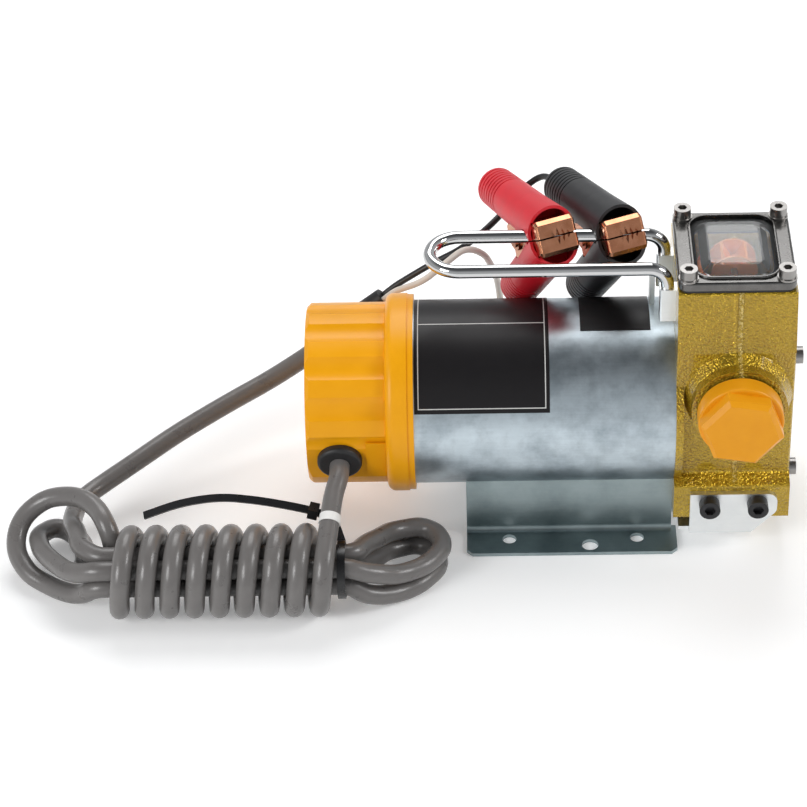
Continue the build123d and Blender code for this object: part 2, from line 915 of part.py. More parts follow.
spring_bottom = foot_bottom + bypass_cap_height
spring_length = poppet_bottom - spring_bottom
with BuildPart() as bypass_spring:
    turn_rise = (spring_length - 2 * spring_wire) / spring_turns
    with BuildLine() as coil:
        Helix(
            turn_rise,
            spring_length - 2 * spring_wire,
            spring_radius,
            center=(port_x, 0, spring_bottom + spring_wire),
        )
    with BuildSketch(Plane(coil.line @ 0, z_dir=coil.line % 0)):
        Circle(spring_wire)
    sweep(is_frenet=True)
write(bypass_spring, "bypass_spring")

# Window: gasket, clear dome, pressed frame, screws with washers
gasket_bottom = body_top
frame_bottom = body_top + gasket_height
frame_top = frame_bottom + frame_height
with BuildPart() as window_gasket:
    with BuildSketch(Plane.XY.offset(gasket_bottom)):
        with Locations((well_centre_x, 0)):
            RectangleRounded(2 * frame_half_x - 1, 2 * frame_half_y - 1, frame_corner)
            RectangleRounded(2 * well_half_x, 2 * well_half_y, 4, mode=Mode.SUBTRACT)
            with GridLocations(2 * frame_screw_x, 2 * frame_screw_y, 2, 2):
                Circle(screw_radius, mode=Mode.SUBTRACT)
    extrude(amount=gasket_height)
write(window_gasket, "window_gasket")

dome_base_top = frame_bottom + dome_base_height
with BuildPart() as sight_window:
    with BuildSketch(Plane.XY.offset(frame_bottom)):
        with Locations((well_centre_x, 0)):
            RectangleRounded(
                2 * (frame_half_x - frame_sheet - running_gap),
                2 * (frame_half_y - frame_sheet - running_gap),
                frame_corner - frame_sheet,
            )
    extrude(amount=dome_base_height)
    with BuildSketch(Plane.XY.offset(dome_base_top)):
        with Locations((well_centre_x, 0)):
            RectangleRounded(
                2 * (opening_half_x - running_gap),
                2 * (opening_half_y - running_gap),
                opening_corner,
            )
    with BuildSketch(Plane.XY.offset(dome_pane_top)):
        with Locations((well_centre_x, 0)):
            RectangleRounded(2 * dome_pane_half_x, 2 * dome_pane_half_y, 3)
    loft()
    with BuildSketch(Plane.XY.offset(frame_bottom)):
        with Locations((well_centre_x, 0)):
            RectangleRounded(2 * dome_cavity_half_x, 2 * dome_cavity_half_y, 4)
    with BuildSketch(Plane.XY.offset(dome_pane_top - dome_wall)):
        with Locations((well_centre_x, 0)):
            RectangleRounded(
                2 * (dome_pane_half_x - 1), 2 * (dome_pane_half_y - 1), 3
            )
    loft(mode=Mode.SUBTRACT)
    with BuildSketch(Plane.XY.offset(frame_bottom)):
        with Locations((well_centre_x, 0)):
            with GridLocations(2 * frame_screw_x, 2 * frame_screw_y, 2, 2):
                Circle(screw_radius)
    extrude(amount=dome_base_height, mode=Mode.SUBTRACT)
write(sight_window, "sight_window")

with BuildPart() as window_frame:
    with BuildSketch(Plane.XY.offset(frame_bottom)):
        with Locations((well_centre_x, 0)):
            RectangleRounded(2 * frame_half_x, 2 * frame_half_y, frame_corner)
    extrude(amount=frame_height)
    fillet(window_frame.faces().sort_by(Axis.Z)[-1].edges(), frame_sheet * 0.9)
    with BuildSketch(Plane.XY.offset(frame_top - 0.2)):
        with Locations((well_centre_x, 0)):
            RectangleRounded(
                2 * (opening_half_x + bead_width),
                2 * (opening_half_y + bead_width),
                opening_corner + bead_width,
            )
    extrude(amount=bead_height + 0.2)
    fillet(window_frame.faces().sort_by(Axis.Z)[-1].edges(), bead_height * 0.6)
    with BuildSketch(Plane.XY.offset(frame_bottom)):
        with Locations((well_centre_x, 0)):
            RectangleRounded(
                2 * (frame_half_x - frame_sheet),
                2 * (frame_half_y - frame_sheet),
                frame_corner - frame_sheet,
            )
    extrude(amount=frame_height - frame_sheet, mode=Mode.SUBTRACT)
    with BuildSketch(Plane.XY.offset(frame_bottom)):
        with Locations((well_centre_x, 0)):
            RectangleRounded(2 * opening_half_x, 2 * opening_half_y, opening_corner)
            with GridLocations(2 * frame_screw_x, 2 * frame_screw_y, 2, 2):
                Circle(screw_radius)
    extrude(amount=frame_height + 2 * bead_height, mode=Mode.SUBTRACT)
write(window_frame, "window_frame")

frame_screw_spots = [
    (well_centre_x + side_x * frame_screw_x, side_y * frame_screw_y)
    for side_x in (-1, 1)
    for side_y in (-1, 1)
]
with BuildPart() as frame_washers:
    with BuildSketch(Plane.XY.offset(frame_top)):
        for x, y in frame_screw_spots:
            with Locations((x, y)):
                Circle(washer_radius)
                Circle(screw_radius, mode=Mode.SUBTRACT)
    extrude(amount=washer_height)
write(frame_washers, "frame_washers")

screw_seat = frame_top + washer_height
cap_screws(
    [
        Plane((x, y, screw_seat), x_dir=(1, 0, 0), z_dir=(0, 0, 1))
        for x, y in frame_screw_spots
    ],
    screw_head_radius,
    screw_head_height,
    screw_radius,
    screw_seat - body_top + frame_screw_depth - 1,
    socket_radius,
    "frame_screws",
)

# Flow wheel and its axle
with BuildPart() as flow_wheel:
    with BuildSketch(facing(-wheel_half_width)):
        with Locations((well_centre_x, wheel_height)):
            Circle(wheel_hub)
            for blade in range(wheel_blades // 2):
                Rectangle(2 * wheel_radius, wheel_blade, rotation=blade * 60)
            Circle(axle_radius + running_gap, mode=Mode.SUBTRACT)
    extrude(amount=-2 * wheel_half_width)
    for start in (-wheel_half_width, wheel_half_width - wheel_disc):
        with BuildSketch(facing(start)):
            with Locations((well_centre_x, wheel_height)):
                Circle(wheel_radius)
                Circle(axle_radius + running_gap, mode=Mode.SUBTRACT)
        extrude(amount=-wheel_disc)
write(flow_wheel, "flow_wheel")

with BuildPart() as wheel_axle:
    with BuildSketch(facing(-well_half_y - axle_insert)):
        with Locations((well_centre_x, wheel_height)):
            Circle(axle_radius)
    extrude(amount=-2 * (well_half_y + axle_insert))
write(wheel_axle, "wheel_axle")

# Foot bracket: saddle under the tube, two webs, two flanges with holes
saddle_outer = tube_radius + sheet
web_top = axis_height - math.sqrt(tube_radius**2 - web_half**2)
with BuildPart() as foot_bracket:
    with BuildSketch(across(bracket_left)):
        with Locations(axis_point):
            Circle(saddle_outer)
            Circle(tube_radius, mode=Mode.SUBTRACT)
        with Locations((0, 0)):
            Rectangle(
                2 * web_half, axis_height, align=(Align.CENTER, Align.MIN), mode=Mode.INTERSECT
            )
    extrude(amount=-bracket_left)
    with BuildSketch(across(bracket_left)):
        for side in (-1, 1):
            with Locations((side * (web_half - sheet / 2), 0)):
                Rectangle(sheet, web_top, align=(Align.CENTER, Align.MIN))
        with Locations(axis_point):
            Circle(tube_radius, mode=Mode.SUBTRACT)
    extrude(amount=-bracket_left)
    with BuildSketch(across(bracket_left)):
        for side in (-1, 1):
            with Locations((side * (web_half - sheet + flange_half) / 2, 0)):
                Rectangle(
                    flange_half - web_half + sheet, sheet, align=(Align.CENTER, Align.MIN)
                )
    extrude(amount=bracket_tongue - bracket_left)
    bends = foot_bracket.edges().filter_by(Axis.X)
    bends = bends.filter_by(
        lambda edge: abs(abs(edge.center().Y) - web_half) < 0.01
        and abs(edge.center().Z - sheet) < 0.01
        and edge.length > bracket_tongue * 2
    )
    fillet(bends, bracket_bend)
    corners = foot_bracket.edges().filter_by(Axis.Z)
    corners = corners.filter_by(lambda edge: abs(abs(edge.center().Y) - flange_half) < 0.01)
    chamfer(corners, bracket_corner)
    with BuildSketch(Plane.XY):
        for side in (-1, 1):
            for x in outer_hole_x:
                with Locations((x, side * outer_hole_y)):
                    Circle(outer_hole_radius)
            with Locations((middle_hole_x, side * middle_hole_y)):
                Circle(middle_hole_radius)
    extrude(amount=sheet, mode=Mode.SUBTRACT)
write(foot_bracket, "foot_bracket")

# Foot plate: front and rear legs on the pump foot, joined under it
with BuildPart() as foot_plate:
    for leg_y, outward in ((-foot_half, 1), (foot_half, -1)):
        with BuildSketch(facing(leg_y)):
            with BuildLine():
                Polyline(
                    (plate_left, plate_bottom),
                    (plate_slope_x, plate_bottom),
                    (plate_right, plate_slope_height),
                    (plate_right, plate_top),
                    (plate_left, plate_top),
                    close=True,
                )
            make_face()
        extrude(amount=outward * plate_thickness)
    round_corners = foot_plate.edges().filter_by(Axis.Y)
    round_corners = round_corners.filter_by(
        lambda edge: edge.center().X > plate_right - 0.01
    )
    fillet(round_corners, plate_corner)
    with BuildSketch(Plane.XY.offset(plate_bottom)):
        with Locations(((leg_left + plate_slope_x) / 2, 0)):
            Rectangle(plate_slope_x - leg_left, 2 * foot_half)
        with Locations(((leg_inner_left + leg_left) / 2, 0)):
            Rectangle(leg_left - leg_inner_left, 2 * (web_half - sheet))
    extrude(amount=sheet)
    with BuildSketch(facing(-foot_half - plate_thickness)):
        for x in foot_screw_x:
            with Locations((x, foot_screw_height)):
                Circle(foot_screw_radius)
    extrude(amount=-2 * (foot_half + plate_thickness), mode=Mode.SUBTRACT)
write(foot_plate, "foot_plate")

cap_screws(
    [
        Plane(
            (x, side * (foot_half + plate_thickness), foot_screw_height),
            x_dir=(1, 0, 0),
            z_dir=(0, side, 0),
        )
        for side in (-1, 1)
        for x in foot_screw_x
    ],
    foot_head_radius,
    foot_head_height,
    foot_screw_radius,
    foot_screw_depth + plate_thickness - 1,
    foot_socket_radius,
    "foot_screws",
)

# Handle: one rod bent into a long loop, its ends bent down onto the bracket
loop_centre = rod_left + rod_half
with BuildPart() as carry_handle:
    with BuildLine() as rod:
        Line((post_x, -rod_half, post_top), (post_x, -rod_half, rod_height - rod_bend))
        ThreePointArc(
            (post_x, -rod_half, rod_height - rod_bend),
            (
                post_x - rod_bend * (1 - math.sqrt(0.5)),
                -rod_half,
                rod_height - rod_bend * (1 - math.sqrt(0.5)),
            ),
            (post_x - rod_bend, -rod_half, rod_height),
        )
        Line((post_x - rod_bend, -rod_half, rod_height), (loop_centre, -rod_half, rod_height))
        ThreePointArc(
            (loop_centre, -rod_half, rod_height),
            (rod_left, 0, rod_height),
            (loop_centre, rod_half, rod_height),
        )
        Line((loop_centre, rod_half, rod_height), (post_x - rod_bend, rod_half, rod_height))
        ThreePointArc(
            (post_x - rod_bend, rod_half, rod_height),
            (
                post_x - rod_bend * (1 - math.sqrt(0.5)),
                rod_half,
                rod_height - rod_bend * (1 - math.sqrt(0.5)),
            ),
            (post_x, rod_half, rod_height - rod_bend),
        )
        Line((post_x, rod_half, rod_height - rod_bend), (post_x, rod_half, post_top))
    with BuildSketch(Plane((post_x, -rod_half, post_top), z_dir=(0, 0, 1))):
        Circle(rod_radius)
    sweep(path=rod.wires()[0])
write(carry_handle, "carry_handle")

# Handle bracket: two posts on the pump body under the rod ends, and a rear tab
with BuildPart() as handle_bracket:
    with BuildSketch(Plane.XY.offset(post_top)):
        for side in (-1, 1):
            with Locations((0, side * rod_half)):
                Rectangle(
                    post_half - post_x, 2 * post_half, align=(Align.MAX, Align.CENTER)
                )
    extrude(amount=post_bottom - post_top)
    fillet(handle_bracket.edges().filter_by(Axis.Z).group_by(Axis.X)[0], 1)
    with BuildSketch(Plane.XY.offset(tab_top)):
        with Locations(((tab_left + tab_right) / 2, (tab_front + tab_back) / 2)):
            Rectangle(tab_right - tab_left, tab_back - tab_front)
    extrude(amount=axis_height - tab_top)
    with BuildSketch(across(tab_left)):
        with Locations(axis_point):
            Circle(tube_radius)
    extrude(amount=tab_right - tab_left, mode=Mode.SUBTRACT)
write(handle_bracket, "handle_bracket")


def sticker(left, right, back_angle, front_angle, label):
    """Thin sheet wrapped on the tube between two angles from the top."""
    with BuildPart() as sheet_piece:
        with BuildSketch(across(left)):
            with Locations(axis_point):
                Circle(tube_radius + sticker_lift + sticker_thickness)
                Circle(tube_radius + sticker_lift, mode=Mode.SUBTRACT)
                Polygon(
                    *wedge(back_angle, front_angle, 2 * tube_radius),
                    align=None,
                    mode=Mode.INTERSECT,
                )
        extrude(amount=right - left)
    write(sheet_piece, label)


sticker(label_left, label_right, label_back_angle, label_front_angle, "motor_label")
sticker(
    sticker_left, sticker_right, sticker_back_angle, sticker_front_angle, "tube_sticker"
)


# Battery clips
clip_up = clip_across.cross(clip_back).normalized()


def clip_plane(centre, offset=0):
    """Plane through a clip: its own x is back, its own y is up."""
    return Plane(centre + clip_across * offset, x_dir=clip_back, z_dir=clip_across)


def grip_point(centre, side, reach):
    """Point on a grip's middle line, measured back from the pivot."""
    turn = math.radians(grip_angle)
    back = pivot_back + reach * math.cos(turn)
    up = side * (grip_rise + reach * math.sin(turn))
    return centre + clip_back * back + clip_up * up


def grip_direction(side):
    """Direction of a grip, from the pivot to its end."""
    turn = math.radians(grip_angle)
    return clip_back * math.cos(turn) + clip_up * (side * math.sin(turn))


def rod_slot(side):
    """Corners, across the motor axis, of the slot by which an opening jaw leaves the rod."""
    reach = math.hypot(clip_up.Y, clip_up.Z)
    out_y = -side * clip_up.Y / reach
    out_z = -side * clip_up.Z / reach
    half = rod_radius + loose_gap + running_gap
    return [
        (
            rod_half + along * out_y - turn * half * out_z,
            rod_height + along * out_z + turn * half * out_y,
        )
        for along, turn in ((0, 1), (0, -1), (rod_slot_length, -1), (rod_slot_length, 1))
    ]


def jaw(centre, side, colour):
    """One pressed jaw with toothed lip, side walls, ears and a tang."""
    inner = jaw_half - jaw_sheet
    rear_half = jaw_half if side > 0 else inner - 2 * running_gap
    outline = [
        (jaw_front, side * jaw_gap),
        (jaw_front, side * (jaw_height - 2)),
        (jaw_front + 2, side * jaw_height),
        (pivot_back + jaw_tail, side * jaw_height),
        (pivot_back + jaw_tail, side * (jaw_height - 4)),
        (pivot_back - 6, side * jaw_gap),
    ]
    hollow = [
        (jaw_front + jaw_sheet, side * (jaw_gap - 1)),
        (jaw_front + jaw_sheet, side * (jaw_height - jaw_sheet)),
        (pivot_back + 8, side * (jaw_height - jaw_sheet)),
        (pivot_back + 8, side * (jaw_gap - 1)),
    ]
    with BuildPart() as shell:
        with BuildSketch(clip_plane(centre)):
            Polygon(*outline, align=None)
        extrude(amount=jaw_half, both=True)
        crests = shell.edges().filter_by(
            lambda edge: abs(abs((edge.center() - centre).dot(clip_across)) - jaw_half) < 0.01
            and (edge.center() - centre).dot(clip_back) < pivot_back - 6
            and side * (edge.center() - centre).dot(clip_up) > jaw_gap + 1
        )
        fillet(crests, jaw_round)
        with BuildSketch(clip_plane(centre)):
            with Locations((pivot_back, 0)):
                Circle(ear_radius)
        extrude(amount=jaw_half, both=True)
        if side < 0:
            for end in (-1, 1):
                with BuildSketch(clip_plane(centre, end * (rear_half + jaw_half) / 2)):
                    with Locations((jaw_step + pivot_back, 0)):
                        Rectangle(2 * pivot_back, 4 * jaw_height)
                extrude(amount=(jaw_half - rear_half) / 2, both=True, mode=Mode.SUBTRACT)
        with BuildSketch(clip_plane(centre)):
            Polygon(*hollow, align=None)
            with Locations((pivot_back, 0)):
                Circle(ear_radius + 1)
        extrude(amount=rear_half - jaw_sheet, both=True, mode=Mode.SUBTRACT)
        with BuildSketch(clip_plane(centre)):
            with Locations((pivot_back, 0)):
                Circle(pivot_radius + running_gap)
        extrude(amount=jaw_half, both=True, mode=Mode.SUBTRACT)
        lip_plane = Plane(
            centre + clip_back * jaw_front, x_dir=clip_across, z_dir=-clip_back
        )
        with BuildSketch(lip_plane):
            for tooth in range(tooth_count):
                middle = (tooth - (tooth_count - 1) / 2) * tooth_pitch
                depth = tooth_depth + tooth_extra_depth * (1 - abs(tooth - 2) / 2)
                Polygon(
                    (middle - tooth_half_width, 0),
                    (middle, side * depth),
                    (middle + tooth_half_width, 0),
                    align=None,
                )
        extrude(amount=-jaw_sheet, mode=Mode.SUBTRACT)
        with BuildSketch(across(centre.X - 2 * jaw_half)):
            for drop in (0, loose_gap):
                with Locations((rod_half, rod_height - drop)):
                    Circle(rod_radius + running_gap)
            if side == jaw_opening_side[colour]:
                Polygon(*rod_slot(side), align=None)
        extrude(amount=4 * jaw_half, mode=Mode.SUBTRACT)
    write(shell, f"{colour}_clip_{'upper' if side > 0 else 'lower'}_jaw")


def grip(centre, side, colour):
    """Moulded grip: a tapered sleeve with ribs, open like a hood over its jaw."""
    direction = grip_direction(side)
    stations = (
        (grip_start, grip_mouth),
        (grip_waist, (grip_mouth + grip_radius) / 2),
        (grip_end, grip_radius),
    )
    with BuildPart() as sleeve:
        for (reach, wide), (next_reach, next_wide) in zip(stations, stations[1:]):
            for place, radius in ((reach, wide), (next_reach, next_wide)):
                origin = grip_point(centre, side, place)
                with BuildSketch(Plane(origin, x_dir=clip_across, z_dir=direction)):
                    Circle(radius)
            loft()
        end_edges = sleeve.edges().filter_by(GeomType.CIRCLE)
        end_edge = end_edges.sort_by(lambda edge: edge.arc_center.dot(direction))[-1]
        fillet(end_edge, grip_end_radius)
        for rib in range(grip_rib_count):
            reach = grip_end - grip_end_radius - 1 - rib * grip_rib_pitch
            origin = grip_point(centre, side, reach)
            with BuildSketch(Plane(origin, x_dir=clip_across, z_dir=direction)):
                Circle(grip_mouth)
                Circle(grip_radius - grip_rib_depth, mode=Mode.SUBTRACT)
            extrude(amount=-grip_rib_width, mode=Mode.SUBTRACT)
        turn = math.radians(grip_wedge)
        far = 3 * grip_end
        with BuildSketch(clip_plane(centre)):
            Polygon(
                (pivot_back - far, side * jaw_gap),
                (pivot_back, side * jaw_gap),
                (pivot_back + far * math.cos(turn), side * far * math.sin(turn)),
                (pivot_back + far, -side * far),
                (pivot_back - far, -side * far),
                align=None,
            )
        extrude(amount=2 * grip_mouth, both=True, mode=Mode.SUBTRACT)
        with BuildSketch(clip_plane(centre)):
            Polygon(
                (jaw_front - grip_mouth, -side * jaw_height),
                (jaw_front - grip_mouth, side * jaw_height),
                (pivot_back + jaw_tail, side * jaw_height),
                (pivot_back + jaw_tail, -side * jaw_height),
                align=None,
            )
        extrude(amount=jaw_half, both=True, mode=Mode.SUBTRACT)
        with BuildSketch(clip_plane(centre)):
            with Locations((pivot_back, 0)):
                Circle(ear_radius + loose_gap)
        extrude(amount=2 * grip_mouth, both=True, mode=Mode.SUBTRACT)
        with BuildSketch(across(centre.X - 2 * grip_mouth)):
            for drop in (0, rod_bend_room):
                with Locations((rod_half, rod_height - drop)):
                    Circle(rod_radius + loose_gap)
            if side == jaw_opening_side[colour]:
                Polygon(*rod_slot(side), align=None)
        extrude(amount=4 * grip_mouth, mode=Mode.SUBTRACT)
        mouth = Plane(
            grip_point(centre, side, grip_start), x_dir=clip_across, z_dir=direction
        )
        with BuildSketch(mouth):
            Circle(grip_mouth - grip_wall)
        extrude(amount=hood_depth, mode=Mode.SUBTRACT)
    write(sleeve, f"{colour}_clip_{'upper' if side > 0 else 'lower'}_grip")


clip_spots = {
    colour: Vector(x, rod_half, rod_height) for colour, x in clip_centres.items()
}
for colour, centre in clip_spots.items():
    for side in (-1, 1):
        jaw(centre, side, colour)
        grip(centre, side, colour)

with BuildPart() as clip_rivets:
    for centre in clip_spots.values():
        with BuildSketch(clip_plane(centre)):
            with Locations((pivot_back, 0)):
                Circle(pivot_radius)
        extrude(amount=jaw_half + pivot_head_height, both=True)
        for end in (-1, 1):
            with BuildSketch(clip_plane(centre, end * (jaw_half + running_gap))):
                with Locations((pivot_back, 0)):
                    Circle(pivot_head)
            extrude(amount=end * pivot_head_height)
write(clip_rivets, "clip_rivets")

with BuildPart() as clip_springs:
    for centre in clip_spots.values():
        with BuildSketch(clip_plane(centre)):
            with Locations((pivot_back, 0)):
                Circle(pivot_radius + clip_spring_thickness)
                Circle(pivot_radius + running_gap, mode=Mode.SUBTRACT)
        extrude(amount=jaw_half / 2, both=True)
write(clip_springs, "clip_springs")

# Cable
hank_y = -87.5
hank_height = 23.7
wrap_radius = 18.5
wrap_pitch = 12.4
wrap_count = 9
wrap_first_x = -169.8
strand_offset = 5.4
strand_left = -284.0
strand_right = -166.0
wrap_start_angle = 110.0
lead_square_run = 7.0
lead_straight_run = 22.0
tail_straight_run = 12.0


def wrap_point(angle):
    """Point of the wraps at an angle from the rear, over the top to the front."""
    turn = math.radians(angle)
    return Vector(
        wrap_first_x - wrap_pitch * angle / 360,
        hank_y + wrap_radius * math.cos(turn),
        hank_height + wrap_radius * math.sin(turn),
    )


def wrap_tangent(angle):
    """Direction of the wraps at an angle."""
    turn = math.radians(angle)
    return Vector(
        -wrap_pitch / (2 * math.pi),
        -wrap_radius * math.sin(turn),
        wrap_radius * math.cos(turn),
    ).normalized()


def strand(x, up, back):
    """Point on one of the four straight strands inside the wraps."""
    return Vector(x, hank_y + back * strand_offset, hank_height + up * strand_offset)


# The knots of the hank: a point, and its direction where that is fixed
knots = []
angle = wrap_start_angle
knots.append((wrap_point(angle), wrap_tangent(angle)))
for quarter in range(2, 4 * wrap_count + 1):
    knots.append((wrap_point(90 * quarter), wrap_tangent(90 * quarter)))
left_high_loop = [
    (-284.0, -65.0, 33.5),
    (-292.5, -51.0, 37.0),
    (-306.6, -40.0, 34.0),
    (-321.0, -37.5, 28.0),
    (-331.0, -44.0, 20.5),
    (-333.0, -55.0, 13.5),
    (-327.0, -66.5, 8.0),
    (-314.0, -76.5, 5.6),
    (-300.5, -86.0, 8.5),
]
right_low_loop = [
    (-152.5, -91.5, 10.5),
    (-139.0, -84.5, 5.6),
    (-125.5, -74.5, 5.2),
    (-119.0, -60.5, 5.2),
    (-127.0, -48.5, 5.2),
    (-141.5, -52.0, 6.4),
    (-153.0, -67.0, 11.5),
]
left_low_loop = [
    (-295.0, -74.5, 15.0),
    (-298.5, -57.0, 9.5),
    (-303.0, -41.0, 6.0),
    (-313.0, -34.5, 8.0),
    (-321.5, -43.5, 12.0),
    (-320.0, -58.5, 16.0),
    (-311.5, -74.0, 19.5),
    (-299.5, -87.5, 24.0),
]
right_high_loop = [
    (-152.0, -91.5, 24.5),
    (-137.5, -84.0, 17.4),
    (-123.0, -73.5, 16.2),
    (-117.0, -60.0, 16.2),
    (-124.5, -48.0, 16.2),
    (-139.0, -50.5, 17.6),
    (-151.5, -65.5, 23.5),
]
far_end_curl = [
    (-295.5, -75.0, 28.6),
    (-300.5, -60.0, 26.0),
    (-305.0, -42.0, 20.0),
    (-302.0, -24.0, 18.0),
    (-290.5, -10.5, 19.3),
]
right = Vector(1, 0, 0)
left = Vector(-1, 0, 0)
knots += [(Vector(*point), None) for point in left_high_loop]
knots.append((strand(strand_left, -1, -1), right))
knots.append((strand(strand_right, -1, -1), right))
knots += [(Vector(*point), None) for point in right_low_loop]
knots.append((strand(strand_right, -1, 1), left))
knots.append((strand(strand_left, -1, 1), left))
knots += [(Vector(*point), None) for point in left_low_loop]
knots.append((strand(strand_left, 1, -1), right))
knots.append((strand(strand_right, 1, -1), right))
knots += [(Vector(*point), None) for point in right_high_loop]
knots.append((strand(strand_right, 1, 1), left))
knots.append((strand(strand_left, 1, 1), left))
knots += [(Vector(*point), None) for point in far_end_curl]
tail_direction = Vector(25.0, 18.7, 7.0).normalized()
knots[-1] = (knots[-1][0], tail_direction)
hank_knots = []
for index, (point, direction) in enumerate(knots):
    if direction is None:
        before, after = knots[index - 1][0], knots[index + 1][0]
        one, two = (point - before).length, (after - point).length
        direction = (point - before) * (two / one) + (after - point) * (one / two)
        direction = direction.normalized()
    hank_knots.append((point, direction))


def biarc(start, start_way, end, end_way):
    """Middle point of two arcs that join two points and directions smoothly."""
    chord = end - start
    both = start_way + end_way
    square = both.dot(both) - 4
    cross = chord.dot(both)
    length = chord.dot(chord)
    if abs(square) < 1e-9:
        reach = length / (2 * cross)
    else:
        reach = (cross - math.sqrt(cross * cross - square * length)) / square
    return ((start + start_way * reach) + (end - end_way * reach)) / 2


hank_start = hank_knots[0][0] - hank_knots[0][1] * cable_diameter
hank_end = hank_knots[-1][0] + hank_knots[-1][1] * cable_diameter
lead_route = [
    grommet_face,
    grommet_face + grommet_outward * lead_square_run,
    hank_start - hank_knots[0][1] * lead_straight_run,
    hank_start,
]
sharpest = wrap_radius
centre_points = [hank_start]
with BuildPart() as cable_hank:
    with BuildLine() as hank_line:
        Line(hank_start, hank_knots[0][0])
        for (start, start_way), (end, end_way) in zip(hank_knots, hank_knots[1:]):
            chord_way = (end - start).normalized()
            if chord_way.dot(start_way) > 0.99999 and chord_way.dot(end_way) > 0.99999:
                pieces = [Line(start, end)]
            else:
                middle = biarc(start, start_way, end, end_way)
                first = TangentArc(start, middle, tangent=start_way)
                second = TangentArc(middle, end, tangent=first % 1)
                pieces = [first, second]
                sharpest = min(sharpest, first.radius, second.radius)
            for piece in pieces:
                steps = max(2, round(piece.length / 2))
                centre_points += [piece @ (step / steps) for step in range(1, steps + 1)]
        Line(hank_knots[-1][0], hank_end)
    with BuildSketch(Plane(hank_start, z_dir=hank_knots[0][1])):
        Circle(cable_radius)
    sweep(path=hank_line.wires()[0])
write(cable_hank, "cable_hank")
hank_length = hank_line.wires()[0].length
section = math.pi * cable_radius**2
print("hank length", round(hank_length), "sharpest radius", round(sharpest, 1))
print("hank volume share", round(cable_hank.part.volume / (section * hank_length), 4))
travelled = [0.0]
for one, two in zip(centre_points, centre_points[1:]):
    travelled.append(travelled[-1] + (two - one).length)
least = 1e9
least_pair = None
rows = [(p.X, p.Y, p.Z) for p in centre_points]
for i in range(len(rows)):
    for j in range(i + 1, len(rows)):
        if travelled[j] - travelled[i] > 3.2 * cable_diameter:
            gap = math.dist(rows[i], rows[j])
            if gap < least:
                least, least_pair = gap, (rows[i], rows[j])
print("hank least gap to itself", round(least - cable_diameter, 2), least_pair)


def tube_radii(route):
    """Largest bend radius that each corner's two runs leave room for."""
    radii = []
    for before, corner, after in zip(route, route[1:], route[2:]):
        run_in, run_out = corner - before, after - corner
        turn = math.radians(run_in.get_angle(run_out))
        radii.append(0.45 * min(run_in.length, run_out.length) / math.tan(turn / 2))
    return radii


def cord(route, radius, label):
    """Round tube along straight runs joined by tangent arcs."""
    route = [Vector(*point) for point in route]
    radii = tube_radii(route)
    with BuildPart() as tube:
        with BuildLine() as line:
            if len(route) > 2:
                FilletPolyline(*route, radius=radii)
            else:
                Line(*route)
        with BuildSketch(Plane(route[0], z_dir=route[1] - route[0])):
            Circle(radius)
        sweep(path=line.wires()[0])
    write(tube, label)
    length = line.wires()[0].length
    share = tube.part.volume / (math.pi * radius**2 * length)
    print(label, "length", round(length), "share", round(share, 4), [round(r) for r in radii])


cord(lead_route, cable_radius, "cable_lead")
tail_end = Vector(-158.0, 62.0, 71.0)
tail_route = [
    hank_end,
    hank_end + hank_knots[-1][1] * tail_straight_run,
    (-256.0, 17.0, 28.0),
    (-232.0, 32.0, 34.5),
    (-207.0, 46.0, 41.0),
    (-187.0, 55.5, 49.5),
    (-171.0, 60.5, 60.0),
    tail_end,
]
cord(tail_route, cable_radius, "cable_tail")

# Splitter boot where the two cores leave the grey cable
boot_length = 15.0
boot_radius = 6.2
boot_way = (tail_end - Vector(-171.0, 60.5, 60.0)).normalized()
boot_end = tail_end + boot_way * boot_length
with BuildPart() as cable_boot:
    with BuildSketch(Plane(tail_end, z_dir=boot_way)):
        Circle(boot_radius)
    with BuildSketch(Plane(boot_end, z_dir=boot_way)):
        Ellipse(boot_radius * 0.85, boot_radius * 0.85 - 0.01)
    loft()
write(cable_boot, "cable_boot")

core_shift = boot_way.cross(Vector(0, -1, 0)).cross(boot_way).normalized() * core_side
black_grip_end = grip_point(clip_spots["black"], 1, grip_end)
red_grip_end = grip_point(clip_spots["red"], -1, grip_end)
black_route = [
    boot_end - core_shift,
    boot_end - core_shift + boot_way * 9,
    (-121.0, 65.0, 100.5),
    (-105.0, 66.0, 109.0),
    (-91.0, 75.0, 116.0),
    (-80.0, 86.0, 122.0),
    (-71.0, 95.0, 128.5),
    (-63.0, 95.0, 134.5),
    black_grip_end + grip_direction(1) * 10,
    black_grip_end,
]
white_route = [
    boot_end + core_shift,
    boot_end + core_shift + boot_way * 8,
    (-126.0, 60.5, 92.0),
    (-114.0, 58.5, 105.0),
    (-103.0, 59.5, 114.5),
    (-93.5, 62.0, 108.5),
    (-88.5, 69.0, 93.0),
    (-86.5, 77.5, 78.5),
    (-85.5, 82.0, 66.0),
    (-84.5, 79.0, 56.0),
    (-83.2, 70.0, 53.0),
    (-82.0, 64.5, 62.0),
    red_grip_end + grip_direction(-1) * 10,
    red_grip_end,
]
cord(black_route, core_radius, "core_black")
cord(white_route, core_radius, "core_white")

# Marker band on the lead
marker_way = hank_knots[0][1]
marker_start = lead_route[2] + marker_way * marker_place
with BuildPart() as cable_marker:
    with BuildSketch(Plane(marker_start, z_dir=marker_way)):
        Circle(cable_radius + marker_thickness)
        Circle(cable_radius, mode=Mode.SUBTRACT)
    extrude(amount=marker_length)
write(cable_marker, "cable_marker")

